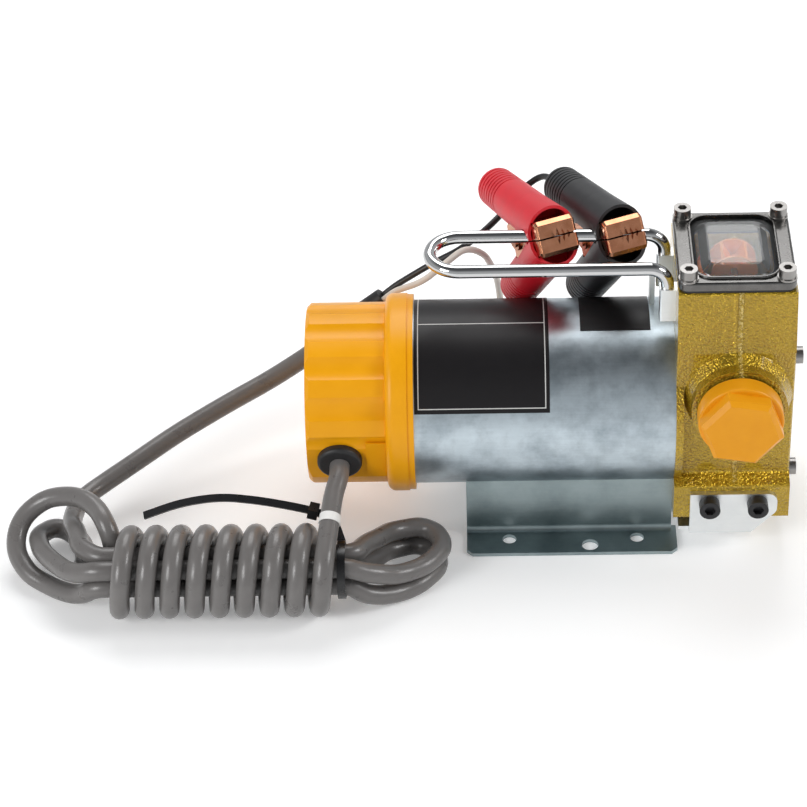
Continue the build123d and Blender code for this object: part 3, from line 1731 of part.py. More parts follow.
# Cable tie: band round the four strands, head behind the lead, long strap
tie_x = -168.3
tie_width = 4.0
tie_band = 1.3
tie_inner = strand_offset * math.sqrt(2) + cable_radius + 2 * loose_gap
tie_head_width = 7.0
tie_head_height = 5.5
tie_head_length = 5.0
tie_head_start = (-178.0, -64.8, 41.9)
tie_route = [
    (-166.3, -77.7, 33.6),
    (-169.5, -69.5, 38.6),
    (-177.0, -65.0, 41.6),
    (-188.0, -63.3, 43.8),
    (-206.0, -60.0, 45.6),
    (-227.0, -55.0, 44.6),
    (-248.0, -52.0, 38.5),
    (-267.0, -51.5, 30.0),
]
with BuildPart() as cable_tie:
    with BuildSketch(across(tie_x)):
        with Locations((hank_y, hank_height)):
            Circle(tie_inner + tie_band)
            Circle(tie_inner, mode=Mode.SUBTRACT)
    extrude(amount=tie_width)
    with BuildLine() as strap:
        strap_points = [Vector(*point) for point in tie_route]
        FilletPolyline(*strap_points, radius=tube_radii(strap_points))
    strap_way = (strap_points[1] - strap_points[0]).normalized()
    with BuildSketch(Plane(strap_points[0], x_dir=(1, 0, 0), z_dir=strap_way)):
        Rectangle(tie_width, tie_band)
    sweep(path=strap.wires()[0])
    head_way = (strap_points[3] - strap_points[2]).normalized()
    with BuildSketch(Plane(tie_head_start, z_dir=head_way)):
        Rectangle(tie_head_height, tie_head_width)
    extrude(amount=tie_head_length)
write(cable_tie, "cable_tie")
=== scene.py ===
import math

import bpy
import numpy as np
from mathutils import Matrix, Vector


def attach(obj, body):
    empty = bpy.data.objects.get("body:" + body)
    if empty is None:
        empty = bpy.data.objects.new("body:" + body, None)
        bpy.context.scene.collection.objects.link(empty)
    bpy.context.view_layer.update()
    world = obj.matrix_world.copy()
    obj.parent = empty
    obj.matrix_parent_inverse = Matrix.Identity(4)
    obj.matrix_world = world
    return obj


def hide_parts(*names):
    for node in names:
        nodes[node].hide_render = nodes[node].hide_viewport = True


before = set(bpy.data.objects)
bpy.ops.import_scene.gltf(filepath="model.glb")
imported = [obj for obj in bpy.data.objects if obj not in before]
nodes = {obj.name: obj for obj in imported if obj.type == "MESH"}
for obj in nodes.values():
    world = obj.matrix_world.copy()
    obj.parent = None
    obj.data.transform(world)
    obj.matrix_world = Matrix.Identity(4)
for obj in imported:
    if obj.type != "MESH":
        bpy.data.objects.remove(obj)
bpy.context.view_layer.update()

# Everything is in metres in the part's own frame: the motor runs along X, the
# front is -Y, the floor is Z = 0. Sizes given in mm are turned by mm(). Places
# given in mm count X from the joint of motor and pump and are turned by placed().
joint_x = 50.25
axis_height = 67.0
port_x = 30.5


def mm(value):
    """Millimetres to metres."""
    return value / 1000


def placed(points):
    """Places in mm, with X from the joint, as metres from the part's origin."""
    return (np.asarray(points, float) + [joint_x, 0, 0]) / 1000


# Shader wires


class Wire:
    """One output of a shader node, which can be used in sums."""

    def __init__(self, tree, socket):
        self.tree = tree
        self.socket = socket

    def node(self, kind, output=0, inputs=None, **settings):
        """Add a node fed by this wire or by the named inputs."""
        return add_node(self.tree, kind, output, inputs or {0: self}, **settings)

    def maths(self, operation, *others, clamp=False):
        """One maths node on this wire and other wires or numbers."""
        inputs = dict(enumerate((self, *others)))
        return add_node(
            self.tree, "Math", 0, inputs, operation=operation, use_clamp=clamp
        )

    def __add__(self, other):
        return self.maths("ADD", other)

    def __sub__(self, other):
        return self.maths("SUBTRACT", other)

    def __rsub__(self, other):
        return (self * -1) + other

    def __mul__(self, other):
        return self.maths("MULTIPLY", other)

    def __truediv__(self, other):
        return self.maths("DIVIDE", other)

    def above(self, edge, soft=0.0):
        """One where the wire is over the edge, with a soft step if asked."""
        if soft:
            return ((self - (edge - soft)) / (2 * soft)).maths("ADD", 0, clamp=True)
        return self.maths("GREATER_THAN", edge)

    def below(self, edge, soft=0.0):
        """One where the wire is under the edge."""
        return 1 - self.above(edge, soft)

    def absolute(self):
        """The wire without its sign."""
        return self.maths("ABSOLUTE")


def add_node(tree, kind, output, inputs, **settings):
    """Add a shader node, connect its inputs and return one output."""
    made = tree.nodes.new("ShaderNode" + kind)
    for name, value in settings.items():
        setattr(made, name, value)
    for name, value in inputs.items():
        if isinstance(value, Wire):
            tree.links.new(value.socket, made.inputs[name])
        else:
            made.inputs[name].default_value = value
    return Wire(tree, made.outputs[output])


class Finish:
    """A material with a principled surface, built up from wires."""

    def __init__(self, name, colour, roughness=0.5, metallic=0.0):
        self.material = bpy.data.materials.new(name)
        self.material.use_nodes = True
        self.tree = self.material.node_tree
        self.surface = self.tree.nodes["Principled BSDF"]
        self.place = add_node(self.tree, "TexCoord", "Object", {})
        self.set("Base Color", (*colour, 1.0))
        self.set("Roughness", roughness)
        self.set("Metallic", metallic)
        self.material.diffuse_color = (*colour, 1.0)

    def set(self, name, value):
        """Give an input of the surface a number, a colour or a wire."""
        if isinstance(value, Wire):
            self.tree.links.new(value.socket, self.surface.inputs[name])
        else:
            self.surface.inputs[name].default_value = value

    def noise(self, scale, detail=3.0, roughness=0.55, stretch=None):
        """Cloudy noise from 0 to 1 at so many cells in a metre."""
        place = self.place
        if stretch:
            place = add_node(
                self.tree, "VectorMath", 0, {0: place, 1: stretch}, operation="MULTIPLY"
            )
        return add_node(
            self.tree,
            "TexNoise",
            0,
            {"Vector": place, "Scale": scale, "Detail": detail, "Roughness": roughness},
        )

    def cells(self, scale):
        """Distance to the nearest of so many scattered points in a metre."""
        return add_node(
            self.tree, "TexVoronoi", "Distance", {"Vector": self.place, "Scale": scale}
        )

    def axis(self, letter):
        """The place along one axis in metres."""
        return add_node(self.tree, "SeparateXYZ", letter, {0: self.place})

    def ramp(self, factor, low, high):
        """Colour between two colours."""
        return add_node(
            self.tree,
            "Mix",
            2,
            {0: factor, 6: (*low, 1.0), 7: (*high, 1.0)},
            data_type="RGBA",
        )

    def blend(self, factor, under, over):
        """Mix of two colours, each a wire or three numbers."""
        inputs = {0: factor}
        for slot, value in ((6, under), (7, over)):
            inputs[slot] = value if isinstance(value, Wire) else (*value, 1.0)
        return add_node(self.tree, "Mix", 2, inputs, data_type="RGBA")

    def between(self, factor, low, high):
        """Number between two numbers."""
        return factor * (high - low) + low

    def bump(self, height, depth, strength=1.0):
        """Relief of so many metres from a wire of heights from 0 to 1."""
        normal = add_node(
            self.tree,
            "Bump",
            0,
            {"Height": height, "Distance": depth, "Strength": strength},
        )
        self.set("Normal", normal)


def wear(finish, low, high, scale=60.0):
    """Let the roughness drift between two values over a surface."""
    cloud = finish.noise(scale, 4.0)
    finish.set("Roughness", finish.between(cloud, low, high))
    return cloud


# Finishes


def zinc_finish(name, pale, dark, scale, bump=0.00002):
    """Zinc plate: cloudy, slightly blue, with fine drawn lines along X."""
    finish = Finish(name, pale, 0.3, 1.0)
    cloud = finish.noise(scale, 6.0, 0.65)
    patches = finish.noise(scale * 0.45, 6.0, 0.65).above(0.42, 0.16)
    lines = finish.noise(900.0, 2.0, 0.6, (0.06, 1.0, 1.0))
    speck = finish.noise(2600.0, 2.0)
    stain = patches * 0.45 + cloud * 0.4 + lines * 0.15
    finish.set("Base Color", finish.ramp(stain, dark, pale))
    finish.set("Roughness", finish.between(cloud * 0.6 + speck * 0.4, 0.22, 0.5))
    finish.bump(lines * 0.5 + speck * 0.5, bump)
    return finish


tube_finish = zinc_finish("motor_tube_zinc", (0.68, 0.77, 0.82), (0.15, 0.19, 0.225), 105.0)
bracket_finish = zinc_finish("bracket_zinc", (0.4, 0.47, 0.48), (0.15, 0.2, 0.21), 60.0)
plate_finish = zinc_finish("plate_zinc", (0.86, 0.88, 0.88), (0.66, 0.69, 0.7), 70.0)

gold = Finish("gold_hammered_paint", (0.45, 0.3, 0.03), 0.3, 0.75)
dimples = gold.cells(850.0)
fine_dimples = gold.cells(1200.0)
drift = gold.noise(60.0, 4.0)
flow = gold.noise(420.0, 3.0, 0.5)
# Rough ridge of the parting line down the middle of the casting, raised by bump and painted
# paler as a painted glint
seam = (gold.axis("X") - mm(joint_x + port_x)).absolute()
seam = seam.below(0.0022, 0.0014) * gold.axis("Z").above(0.038, 0.002)
rough_seam = gold.noise(800.0, 4.0, 0.7) * seam
# Base colour: gold paint with random tone drift, darker in the dimple pits as painted shade
shade = (dimples * 0.6 + fine_dimples * 0.3 + drift * 0.5 - 0.2).maths(
    "ADD", 0, clamp=True
)
paint_with_pit_shade = gold.ramp(shade, (0.6, 0.4, 0.026), (0.31, 0.19, 0.008))
# The rough seam is blended towards pale gold, a painted glint on its speckles
gold.set("Base Color", gold.blend(rough_seam.above(0.52, 0.06), paint_with_pit_shade, (0.8, 0.62, 0.2)))
gold.set("Roughness", gold.between(drift * 0.5 + flow * 0.5, 0.2, 0.38))
gold.set("Coat Weight", 0.7)
gold.set("Coat Roughness", 0.1)
gold.bump(dimples * -0.5 + fine_dimples * -0.15 + flow * 0.5 + rough_seam * 2.0, 0.00095)

cap_yellow = Finish("cap_yellow_plastic", (0.93, 0.46, 0.006), 0.32, 0.0)
cloud = wear(cap_yellow, 0.27, 0.42, 80.0)
fine = cap_yellow.noise(2500.0, 2.0)
cap_yellow.set("Base Color", cap_yellow.ramp(cloud, (0.82, 0.34, 0.001), (0.9, 0.4, 0.004)))
cap_yellow.set("Specular IOR Level", 0.3)
cap_yellow.bump(fine * 0.5 + cloud * 0.5, 0.00004)

plug_orange = Finish("plug_orange_plastic", (0.8, 0.33, 0.012), 0.3, 0.0)
cloud = wear(plug_orange, 0.26, 0.4, 120.0)
plug_orange.set(
    "Base Color", plug_orange.ramp(cloud, (0.8, 0.31, 0.003), (0.88, 0.37, 0.008))
)
plug_orange.set("Specular IOR Level", 0.3)
plug_orange.bump(plug_orange.noise(1800.0, 2.0), 0.00003)

chrome = Finish("handle_chrome", (0.62, 0.62, 0.62), 0.05, 1.0)
smear = chrome.noise(120.0, 5.0)
chrome.set("Roughness", chrome.between(smear, 0.03, 0.1))
chrome.bump(chrome.noise(220.0, 2.0), 0.00002)

frame_steel = Finish("frame_bright_steel", (0.34, 0.33, 0.32), 0.25, 1.0)
cloud = frame_steel.noise(160.0, 5.0)
frame_steel.set(
    "Base Color", frame_steel.ramp(cloud, (0.09, 0.087, 0.083), (0.21, 0.205, 0.2))
)
frame_steel.set("Roughness", frame_steel.between(cloud, 0.16, 0.36))
frame_steel.bump(frame_steel.noise(1400.0, 2.0), 0.00002)

# Screw steel is darker than plain steel, a painted shade standing for the dark socket holes
screw_steel = Finish("screw_steel", (0.3, 0.29, 0.28), 0.28, 1.0)
wear(screw_steel, 0.2, 0.4, 400.0)
screw_black = Finish("screw_black_oxide", (0.018, 0.018, 0.02), 0.4, 0.3)
wear(screw_black, 0.3, 0.55, 500.0)

copper = Finish("jaw_copper", (0.72, 0.34, 0.2), 0.16, 1.0)
cloud = copper.noise(160.0, 5.0)
copper.set("Base Color", copper.ramp(cloud, (0.4, 0.14, 0.065), (0.7, 0.34, 0.2)))
copper.set("Roughness", copper.between(cloud, 0.13, 0.27))
copper.bump(copper.noise(150.0, 2.0), 0.00008)

grip_red = Finish("grip_red_vinyl", (0.66, 0.012, 0.025), 0.4, 0.0)
cloud = wear(grip_red, 0.34, 0.5, 120.0)
grip_red.set("Base Color", grip_red.ramp(cloud, (0.58, 0.008, 0.02), (0.74, 0.02, 0.035)))
grip_red.bump(grip_red.noise(1600.0, 2.0), 0.00003)
grip_black = Finish("grip_black_vinyl", (0.018, 0.018, 0.02), 0.42, 0.0)
cloud = wear(grip_black, 0.36, 0.52, 120.0)
grip_black.bump(grip_black.noise(1600.0, 2.0), 0.00003)

sheath = Finish("cable_grey_sheath", (0.15, 0.142, 0.138), 0.3, 0.0)
cloud = wear(sheath, 0.22, 0.36, 90.0)
sheath.set("Base Color", sheath.ramp(cloud, (0.13, 0.122, 0.118), (0.175, 0.166, 0.16)))
sheath.bump(sheath.noise(700.0, 3.0), 0.00006)
core_black_finish = Finish("core_black_sheath", (0.012, 0.012, 0.013), 0.36, 0.0)
wear(core_black_finish, 0.3, 0.45, 120.0)
core_white_finish = Finish("core_white_sheath", (0.72, 0.66, 0.6), 0.42, 0.0)
wear(core_white_finish, 0.34, 0.5, 120.0)
marker_white = Finish("marker_white", (0.82, 0.82, 0.8), 0.35, 0.0)
wear(marker_white, 0.3, 0.42, 300.0)
nylon = Finish("tie_black_nylon", (0.01, 0.01, 0.011), 0.28, 0.0)
wear(nylon, 0.22, 0.36, 200.0)
rubber = Finish("rubber_black", (0.014, 0.014, 0.015), 0.5, 0.0)
wear(rubber, 0.42, 0.6, 200.0)
wheel_orange = Finish("wheel_orange_plastic", (0.92, 0.24, 0.0), 0.35, 0.0)
wear(wheel_orange, 0.28, 0.4, 200.0)

clear = Finish("window_clear_plastic", (0.93, 0.95, 0.95), 0.04, 0.0)
clear.set("Transmission Weight", 0.93)
clear.set("IOR", 1.3)
clear.set("Roughness", clear.between(clear.noise(300.0, 2.0), 0.02, 0.06))

# The films on the tube, whose angles count from the top to the front
degrees_per_mm = 1.23
film_black = (0.012, 0.011, 0.012)


def film(name, left, right, back, front, divider=None):
    """Black printed film on the tube with a thin pale border.

    Left and right are in mm from the joint, back and front are angles in
    degrees from the top, and a pale line runs along the motor at the divider.
    """
    finish = Finish(name, film_black, 0.33, 0.0)
    wear(finish, 0.3, 0.44, 150.0)
    finish.set("Specular IOR Level", 0.22)
    if divider is None:
        return finish
    along = finish.axis("X") * 1000 - joint_x
    up = finish.axis("Z") - mm(axis_height)
    angle = (finish.axis("Y") * -1).maths("ARCTAN2", up) * (180 / math.pi)

    def within(inset):
        """One inside the border, moved in by so many mm."""
        turn = inset * degrees_per_mm
        return (
            along.above(left + inset)
            * along.below(right - inset)
            * angle.above(back + turn)
            * angle.below(front - turn)
        )

    line = (angle - divider).absolute().below(0.35)
    pattern = within(0) * ((1 - within(0.5)) + line).maths("ADD", 0, clamp=True)
    finish.set(
        "Base Color", finish.blend(pattern, film_black, (0.62, 0.62, 0.6))
    )
    return finish


label = film("label_film", -127.6, -64.1, -56.0, 64.0, 7.0)
small_label = film("sticker_film", -46.6, -11.7, -34.0, 14.2)

plain_steel = Finish("plain_steel", (0.5, 0.5, 0.5), 0.35, 1.0)
wear(plain_steel, 0.28, 0.45, 200.0)
cast = Finish("cast_aluminium", (0.55, 0.55, 0.55), 0.5, 0.9)
cast.bump(cast.noise(900.0, 3.0), 0.0001)
iron = Finish("laminated_iron", (0.22, 0.22, 0.23), 0.5, 0.8)
iron.bump(iron.noise(2000.0, 2.0, 0.5, (1.0, 0.05, 0.05)), 0.00006)
magnet = Finish("magnet_ferrite", (0.05, 0.05, 0.055), 0.6, 0.1)
magnet.bump(magnet.noise(800.0, 3.0), 0.00006)
wire = Finish("winding_wire", (0.5, 0.2, 0.07), 0.3, 0.8)
wire.bump(wire.noise(1500.0, 2.0, 0.5, (0.1, 1.0, 1.0)), 0.0002)
carbon = Finish("pressed_carbon", (0.02, 0.02, 0.02), 0.5, 0.2)
wear(carbon, 0.42, 0.6, 400.0)
brass = Finish("turned_brass", (0.72, 0.52, 0.2), 0.25, 1.0)
wear(brass, 0.18, 0.34, 400.0)

finishes = {
    tube_finish: ["motor_tube"],
    bracket_finish: ["foot_bracket"],
    plate_finish: ["foot_plate", "handle_bracket"],
    gold: ["pump_body", "end_cover"],
    cap_yellow: ["end_cap"],
    plug_orange: ["port_plug"],
    chrome: ["carry_handle"],
    frame_steel: ["window_frame"],
    screw_steel: ["frame_screws", "frame_washers", "cover_screws", "motor_bolts"],
    screw_black: ["foot_screws"],
    copper: [
        "red_clip_upper_jaw",
        "red_clip_lower_jaw",
        "black_clip_upper_jaw",
        "black_clip_lower_jaw",
        "clip_rivets",
        "commutator",
    ],
    grip_red: ["red_clip_upper_grip", "red_clip_lower_grip"],
    grip_black: ["black_clip_upper_grip", "black_clip_lower_grip"],
    marker_white: ["cable_marker"],
    nylon: ["cable_tie"],
    rubber: [
        "cable_grommet",
        "cable_boot",
        "plug_gasket",
        "window_gasket",
        "cover_seal",
        "shaft_seal",
    ],
    wheel_orange: ["flow_wheel"],
    clear: ["sight_window"],
    label: ["motor_label"],
    small_label: ["tube_sticker"],
    plain_steel: [
        "motor_shaft",
        "bearing_rear",
        "bearing_front",
        "vane_rotor",
        "wheel_axle",
        "clip_springs",
        "bypass_spring",
        "strainer",
    ],
    cast: ["end_shield"],
    iron: ["armature_core"],
    magnet: ["field_magnets"],
    wire: ["windings"],
    carbon: ["brushes", "vanes"],
    brass: ["brush_boxes", "bypass_cap", "bypass_poppet"],
}
for finish, names in finishes.items():
    for name in names:
        mesh = nodes[name].data
        mesh.materials.clear()
        mesh.materials.append(finish.material)

# Camera, as the photograph was taken: long lens, looking down on the pump

camera_eye = Vector(placed([-95.1, -1219.9, 1003.7]))
camera_pitch = 0.65850
camera_yaw = -0.03343
camera_roll = -0.03487
camera_lens = 134.8

forward = Vector(
    (
        math.sin(camera_yaw) * math.cos(camera_pitch),
        math.cos(camera_yaw) * math.cos(camera_pitch),
        -math.sin(camera_pitch),
    )
)
level = Vector((math.cos(camera_yaw), -math.sin(camera_yaw), 0))
upward = level.cross(forward)
sideways = level * math.cos(camera_roll) + upward * math.sin(camera_roll)
upward = upward * math.cos(camera_roll) - level * math.sin(camera_roll)
camera_data = bpy.data.cameras.new("camera")
camera_data.lens = camera_lens
camera_data.sensor_width = 36
camera_data.clip_end = 20
camera = bpy.data.objects.new("camera", camera_data)
turn = Matrix((sideways, upward, -forward)).transposed().to_4x4()
camera.matrix_world = Matrix.Translation(camera_eye) @ turn
bpy.context.collection.objects.link(camera)
bpy.context.scene.camera = camera

# Cable: the same route as the solid, as one spline with closely set points

cable_radius = 5.0
hank_y = -87.5
hank_height = 23.7
wrap_radius = 18.5
wrap_pitch = 12.4
wrap_count = 9
wrap_first_x = -169.8
strand_offset = 5.4
strand_left = -284.0
strand_right = -166.0
wrap_start_angle = 110.0
cord_spacing = 2.6
facet = math.radians(102.0)
grommet_x = -167.3
grommet_reach = 47.8
grommet_way = 7.0
lead_way = 22.0
tail_start_way = 12.0


def unit(vector):
    """The vector at length one."""
    return vector / np.linalg.norm(vector)


def wrap_point(angle):
    """Point of the wraps: rear at 0 degrees, over the top, then down the front."""
    turn = math.radians(angle)
    return np.array(
        [
            wrap_first_x - wrap_pitch * angle / 360,
            hank_y + wrap_radius * math.cos(turn),
            hank_height + wrap_radius * math.sin(turn),
        ]
    )


def wrap_way(angle):
    """Direction of the wraps at an angle."""
    turn = math.radians(angle)
    rise = -wrap_pitch / (2 * math.pi)
    way = [rise, -wrap_radius * math.sin(turn), wrap_radius * math.cos(turn)]
    return unit(np.array(way))


def strand(x, up, back):
    """Point on one of the four straight strands inside the wraps."""
    return np.array([x, hank_y + back * strand_offset, hank_height + up * strand_offset])


def arc_points(start, way, end):
    """Points on the arc that leaves start along way and reaches end."""
    chord = end - start
    length = np.linalg.norm(chord)
    along = way @ chord / length
    if along > 0.99999:
        steps = max(1, round(length / cord_spacing / 2))
        share = np.linspace(0, 1, steps + 1)[1:, None]
        return start + chord * share, way
    side = unit(chord / length - way * along)
    half = math.acos(min(1, along))
    radius = length / (2 * math.sin(half))
    steps = max(2, round(2 * half * radius / cord_spacing))
    turn = np.linspace(0, 2 * half, steps + 1)[1:, None]
    centre = start + side * radius
    points = centre - side * radius * np.cos(turn) + way * radius * np.sin(turn)
    return points, way * math.cos(2 * half) + side * math.sin(2 * half)


def smooth_route(knots):
    """Points along pairs of arcs through knots, each a point and a direction."""
    route = [knots[0][0][None]]
    for (start, way), (end, end_way) in zip(knots, knots[1:]):
        chord = end - start
        both = way + end_way
        square = both @ both - 4
        cross = chord @ both
        root = math.sqrt(cross * cross - square * (chord @ chord))
        reach = (chord @ chord) / (cross + root)
        middle = ((start + way * reach) + (end - end_way * reach)) / 2
        first, middle_way = arc_points(start, way, middle)
        second, _ = arc_points(middle, middle_way, end)
        route += [first, second]
    return np.concatenate(route)


def rounded_route(corners):
    """Points along straight runs joined by arcs that touch them."""
    corners = [np.array(corner, float) for corner in corners]
    route = [corners[0][None]]
    for before, corner, after in zip(corners, corners[1:], corners[2:]):
        way_in, way_out = unit(corner - before), unit(after - corner)
        reach = 0.45 * min(
            np.linalg.norm(corner - before), np.linalg.norm(after - corner)
        )
        start, end = corner - way_in * reach, corner + way_out * reach
        run, _ = arc_points(route[-1][-1], unit(start - route[-1][-1]), start)
        bend, _ = arc_points(start, way_in, end)
        route += [run, bend]
    last, _ = arc_points(route[-1][-1], unit(corners[-1] - route[-1][-1]), corners[-1])
    route.append(last)
    return np.concatenate(route)


def spread_out(route):
    """The route without the points that lie almost on the one before."""
    steps = np.linalg.norm(np.diff(route, axis=0), axis=1)
    return route[np.concatenate([[True], steps > 0.5])]


left_high_loop = [
    (-284.0, -65.0, 33.5),
    (-292.5, -51.0, 37.0),
    (-306.6, -40.0, 34.0),
    (-321.0, -37.5, 28.0),
    (-331.0, -44.0, 20.5),
    (-333.0, -55.0, 13.5),
    (-327.0, -66.5, 8.0),
    (-314.0, -76.5, 5.6),
    (-300.5, -86.0, 8.5),
]
right_low_loop = [
    (-152.5, -91.5, 10.5),
    (-139.0, -84.5, 5.6),
    (-125.5, -74.5, 5.2),
    (-119.0, -60.5, 5.2),
    (-127.0, -48.5, 5.2),
    (-141.5, -52.0, 6.4),
    (-153.0, -67.0, 11.5),
]
left_low_loop = [
    (-295.0, -74.5, 15.0),
    (-298.5, -57.0, 9.5),
    (-303.0, -41.0, 6.0),
    (-313.0, -34.5, 8.0),
    (-321.5, -43.5, 12.0),
    (-320.0, -58.5, 16.0),
    (-311.5, -74.0, 19.5),
    (-299.5, -87.5, 24.0),
]
right_high_loop = [
    (-152.0, -91.5, 24.5),
    (-137.5, -84.0, 17.4),
    (-123.0, -73.5, 16.2),
    (-117.0, -60.0, 16.2),
    (-124.5, -48.0, 16.2),
    (-139.0, -50.5, 17.6),
    (-151.5, -65.5, 23.5),
]
far_end_curl = [
    (-295.5, -75.0, 28.6),
    (-300.5, -60.0, 26.0),
    (-305.0, -42.0, 20.0),
    (-302.0, -24.0, 18.0),
    (-290.5, -10.5, 19.3),
]
left, right = np.array([-1.0, 0, 0]), np.array([1.0, 0, 0])
tail_way = unit(np.array([25.0, 18.7, 7.0]))
angles = [wrap_start_angle] + [90 * quarter for quarter in range(2, 4 * wrap_count + 1)]
knots = [(wrap_point(angle), wrap_way(angle)) for angle in angles]
for loop, ends in (
    (left_high_loop, ((-1, -1, right, strand_left), (-1, -1, right, strand_right))),
    (right_low_loop, ((-1, 1, left, strand_right), (-1, 1, left, strand_left))),
    (left_low_loop, ((1, -1, right, strand_left), (1, -1, right, strand_right))),
    (right_high_loop, ((1, 1, left, strand_right), (1, 1, left, strand_left))),
    (far_end_curl, ()),
):
    knots += [(np.array(point), None) for point in loop]
    knots += [(strand(x, up, back), way) for up, back, way, x in ends]
knots[-1] = (knots[-1][0], tail_way)
for index, (point, way) in enumerate(knots):
    if way is None:
        step_in = point - knots[index - 1][0]
        step_out = knots[index + 1][0] - point
        one, two = np.linalg.norm(step_in), np.linalg.norm(step_out)
        knots[index] = (point, unit(step_in * (two / one) + step_out * (one / two)))

outward = np.array([0, -math.sin(facet), math.cos(facet)])
grommet_face = np.array([grommet_x, 0, axis_height]) + outward * grommet_reach
hank_start = knots[0][0] - knots[0][1] * 2 * cable_radius
hank_end = knots[-1][0] + tail_way * 2 * cable_radius
tail_end = np.array([-158.0, 62.0, 71.0])
lead_route = rounded_route(
    [
        grommet_face,
        grommet_face + outward * grommet_way,
        hank_start - knots[0][1] * lead_way,
        hank_start,
    ]
)
tail_route = rounded_route(
    [
        hank_end,
        hank_end + tail_way * tail_start_way,
        (-256.0, 17.0, 28.0),
        (-232.0, 32.0, 34.5),
        (-207.0, 46.0, 41.0),
        (-187.0, 55.5, 49.5),
        (-171.0, 60.5, 60.0),
        tail_end,
    ]
)
cable_route = spread_out(np.concatenate([lead_route, smooth_route(knots), tail_route]))


def cord_curve(name, route, radius, finish):
    """Round cord along a route in mm, as one smooth spline."""
    curve = bpy.data.curves.new(name, "CURVE")
    curve.dimensions = "3D"
    spline = curve.splines.new("NURBS")
    spline.points.add(len(route) - 1)
    flat = np.ones((len(route), 4))
    flat[:, :3] = placed(route)
    spline.points.foreach_set("co", flat.ravel())
    spline.order_u = 3
    spline.use_endpoint_u = True
    spline.resolution_u = 3
    curve.bevel_depth = mm(radius)
    curve.bevel_resolution = 6
    curve.use_fill_caps = True
    curve.materials.append(finish.material)
    cord = bpy.data.objects.new(name, curve)
    bpy.context.collection.objects.link(cord)
    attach(cord, "base")
    return cord


cable = cord_curve("cable", cable_route, cable_radius, sheath)
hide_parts("cable_lead", "cable_hank", "cable_tail")

core_radius = 1.7
core_side = 2.3
boot_length = 15.0
boot_way = unit(tail_end - np.array([-171.0, 60.5, 60.0]))
boot_end = tail_end + boot_way * boot_length
core_shift = unit(np.cross(np.cross(boot_way, [0, -1, 0]), boot_way)) * core_side
clip_back = unit(np.array([-0.3325, 0.7773, -0.534]))
clip_across = unit(np.array([0.9182, 0.396, 0.0046]))
clip_up = unit(np.cross(clip_across, clip_back))
pivot_back = 24.0
grip_angle = math.radians(19.5)
grip_rise = 13.0
grip_end = 41.4
rod_half = 14.8
rod_height = 151.5
clip_spots = {
    "red": np.array([-60.8, rod_half, rod_height]),
    "black": np.array([-27.2, rod_half, rod_height]),
}


def grip_way(side):
    """Direction of the upper grip for 1, of the lower grip for -1."""
    return clip_back * math.cos(grip_angle) + clip_up * side * math.sin(grip_angle)


def grip_point(colour, side, reach):
    """Point on the middle line of a grip."""
    middle = clip_spots[colour] + clip_back * pivot_back + clip_up * side * grip_rise
    return middle + grip_way(side) * reach


black_end = grip_point("black", 1, grip_end)
red_end = grip_point("red", -1, grip_end)
core_routes = {
    "core_black": [
        boot_end - core_shift,
        boot_end - core_shift + boot_way * 9,
        (-121.0, 65.0, 100.5),
        (-105.0, 66.0, 109.0),
        (-91.0, 75.0, 116.0),
        (-80.0, 86.0, 122.0),
        (-71.0, 95.0, 128.5),
        (-63.0, 95.0, 134.5),
        black_end + grip_way(1) * 10,
        black_end,
    ],
    "core_white": [
        boot_end + core_shift,
        boot_end + core_shift + boot_way * 8,
        (-126.0, 60.5, 92.0),
        (-114.0, 58.5, 105.0),
        (-103.0, 59.5, 114.5),
        (-93.5, 62.0, 108.5),
        (-88.5, 69.0, 93.0),
        (-86.5, 77.5, 78.5),
        (-85.5, 82.0, 66.0),
        (-84.5, 79.0, 56.0),
        (-83.2, 70.0, 53.0),
        (-82.0, 64.5, 62.0),
        red_end + grip_way(-1) * 10,
        red_end,
    ],
}
core_finishes = {"core_black": core_black_finish, "core_white": core_white_finish}
for node_name, corners in core_routes.items():
    route = spread_out(rounded_route(corners))
    core = cord_curve(node_name + "_cord", route, core_radius, core_finishes[node_name])
    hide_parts(node_name)

# Floor, background and light

floor_mesh = bpy.data.meshes.new("floor")
floor_reach = 6.0
floor_mesh.from_pydata(
    [
        (-floor_reach, -floor_reach, 0),
        (floor_reach, -floor_reach, 0),
        (floor_reach, floor_reach, 0),
        (-floor_reach, floor_reach, 0),
    ],
    [],
    [(0, 1, 2, 3)],
)
floor_finish = Finish("floor_white", (0.9, 0.9, 0.9), 0.6, 0.0)
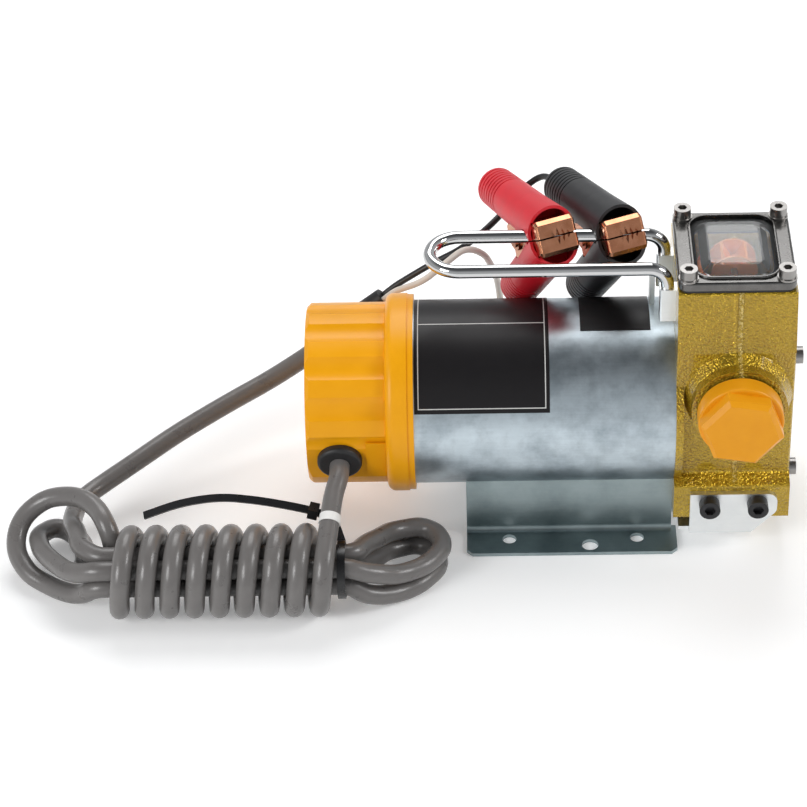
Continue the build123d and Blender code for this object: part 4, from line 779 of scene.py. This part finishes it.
# The floor that is seen or mirrored is a little paler than what lights the pump
looked_at = add_node(floor_finish.tree, "LightPath", 0, {})
looked_at = looked_at + add_node(floor_finish.tree, "LightPath", "Is Glossy Ray", {})
floor_finish.set("Emission Color", floor_finish.ramp(looked_at, (0, 0, 0), (1, 1, 1)))
floor_finish.set("Emission Strength", 0.22)
floor_mesh.materials.append(floor_finish.material)
floor = bpy.data.objects.new("floor", floor_mesh)
bpy.context.collection.objects.link(floor)

world = bpy.data.worlds.new("studio")
bpy.context.scene.world = world
world.use_nodes = True
sky = world.node_tree.nodes["Background"]
seen = add_node(world.node_tree, "LightPath", 0, {})
# A pale horizon under a darker ceiling, as in a studio with a white sweep
height = add_node(world.node_tree, "TexCoord", "Generated", {}).node("SeparateXYZ", "Z")
ceiling = height.above(0.62, 0.24)
room = add_node(
    world.node_tree,
    "Mix",
    2,
    {0: ceiling, 6: (0.86, 0.88, 0.9, 1.0), 7: (0.16, 0.165, 0.175, 1.0)},
    data_type="RGBA",
)
shade = add_node(
    world.node_tree,
    "Mix",
    2,
    {0: seen, 6: room, 7: (1.0, 1.0, 1.0, 1.0)},
    data_type="RGBA",
)
world.node_tree.links.new(shade.socket, sky.inputs["Color"])
world.node_tree.links.new((seen * 0.4 + 0.6).socket, sky.inputs["Strength"])


def soft_light(name, place, aim, size, power):
    """Large square lamp that points at a spot."""
    lamp_data = bpy.data.lights.new(name, "AREA")
    lamp_data.shape = "SQUARE"
    lamp_data.size = size
    lamp_data.energy = power
    lamp = bpy.data.objects.new(name, lamp_data)
    lamp.location = place
    lamp.rotation_euler = (Vector(aim) - Vector(place)).to_track_quat("-Z", "Y").to_euler()
    bpy.context.collection.objects.link(lamp)


middle = (-0.05, 0.0, 0.07)
soft_light("light_top", (-0.1, 0.75, 1.15), middle, 0.9, 10.0)
soft_light("light_front_left", (-1.1, -0.9, 0.75), middle, 0.6, 11.0)
soft_light("light_right", (1.2, -0.25, 0.95), middle, 0.5, 9.0)

bpy.context.scene.view_settings.view_transform = "Standard"
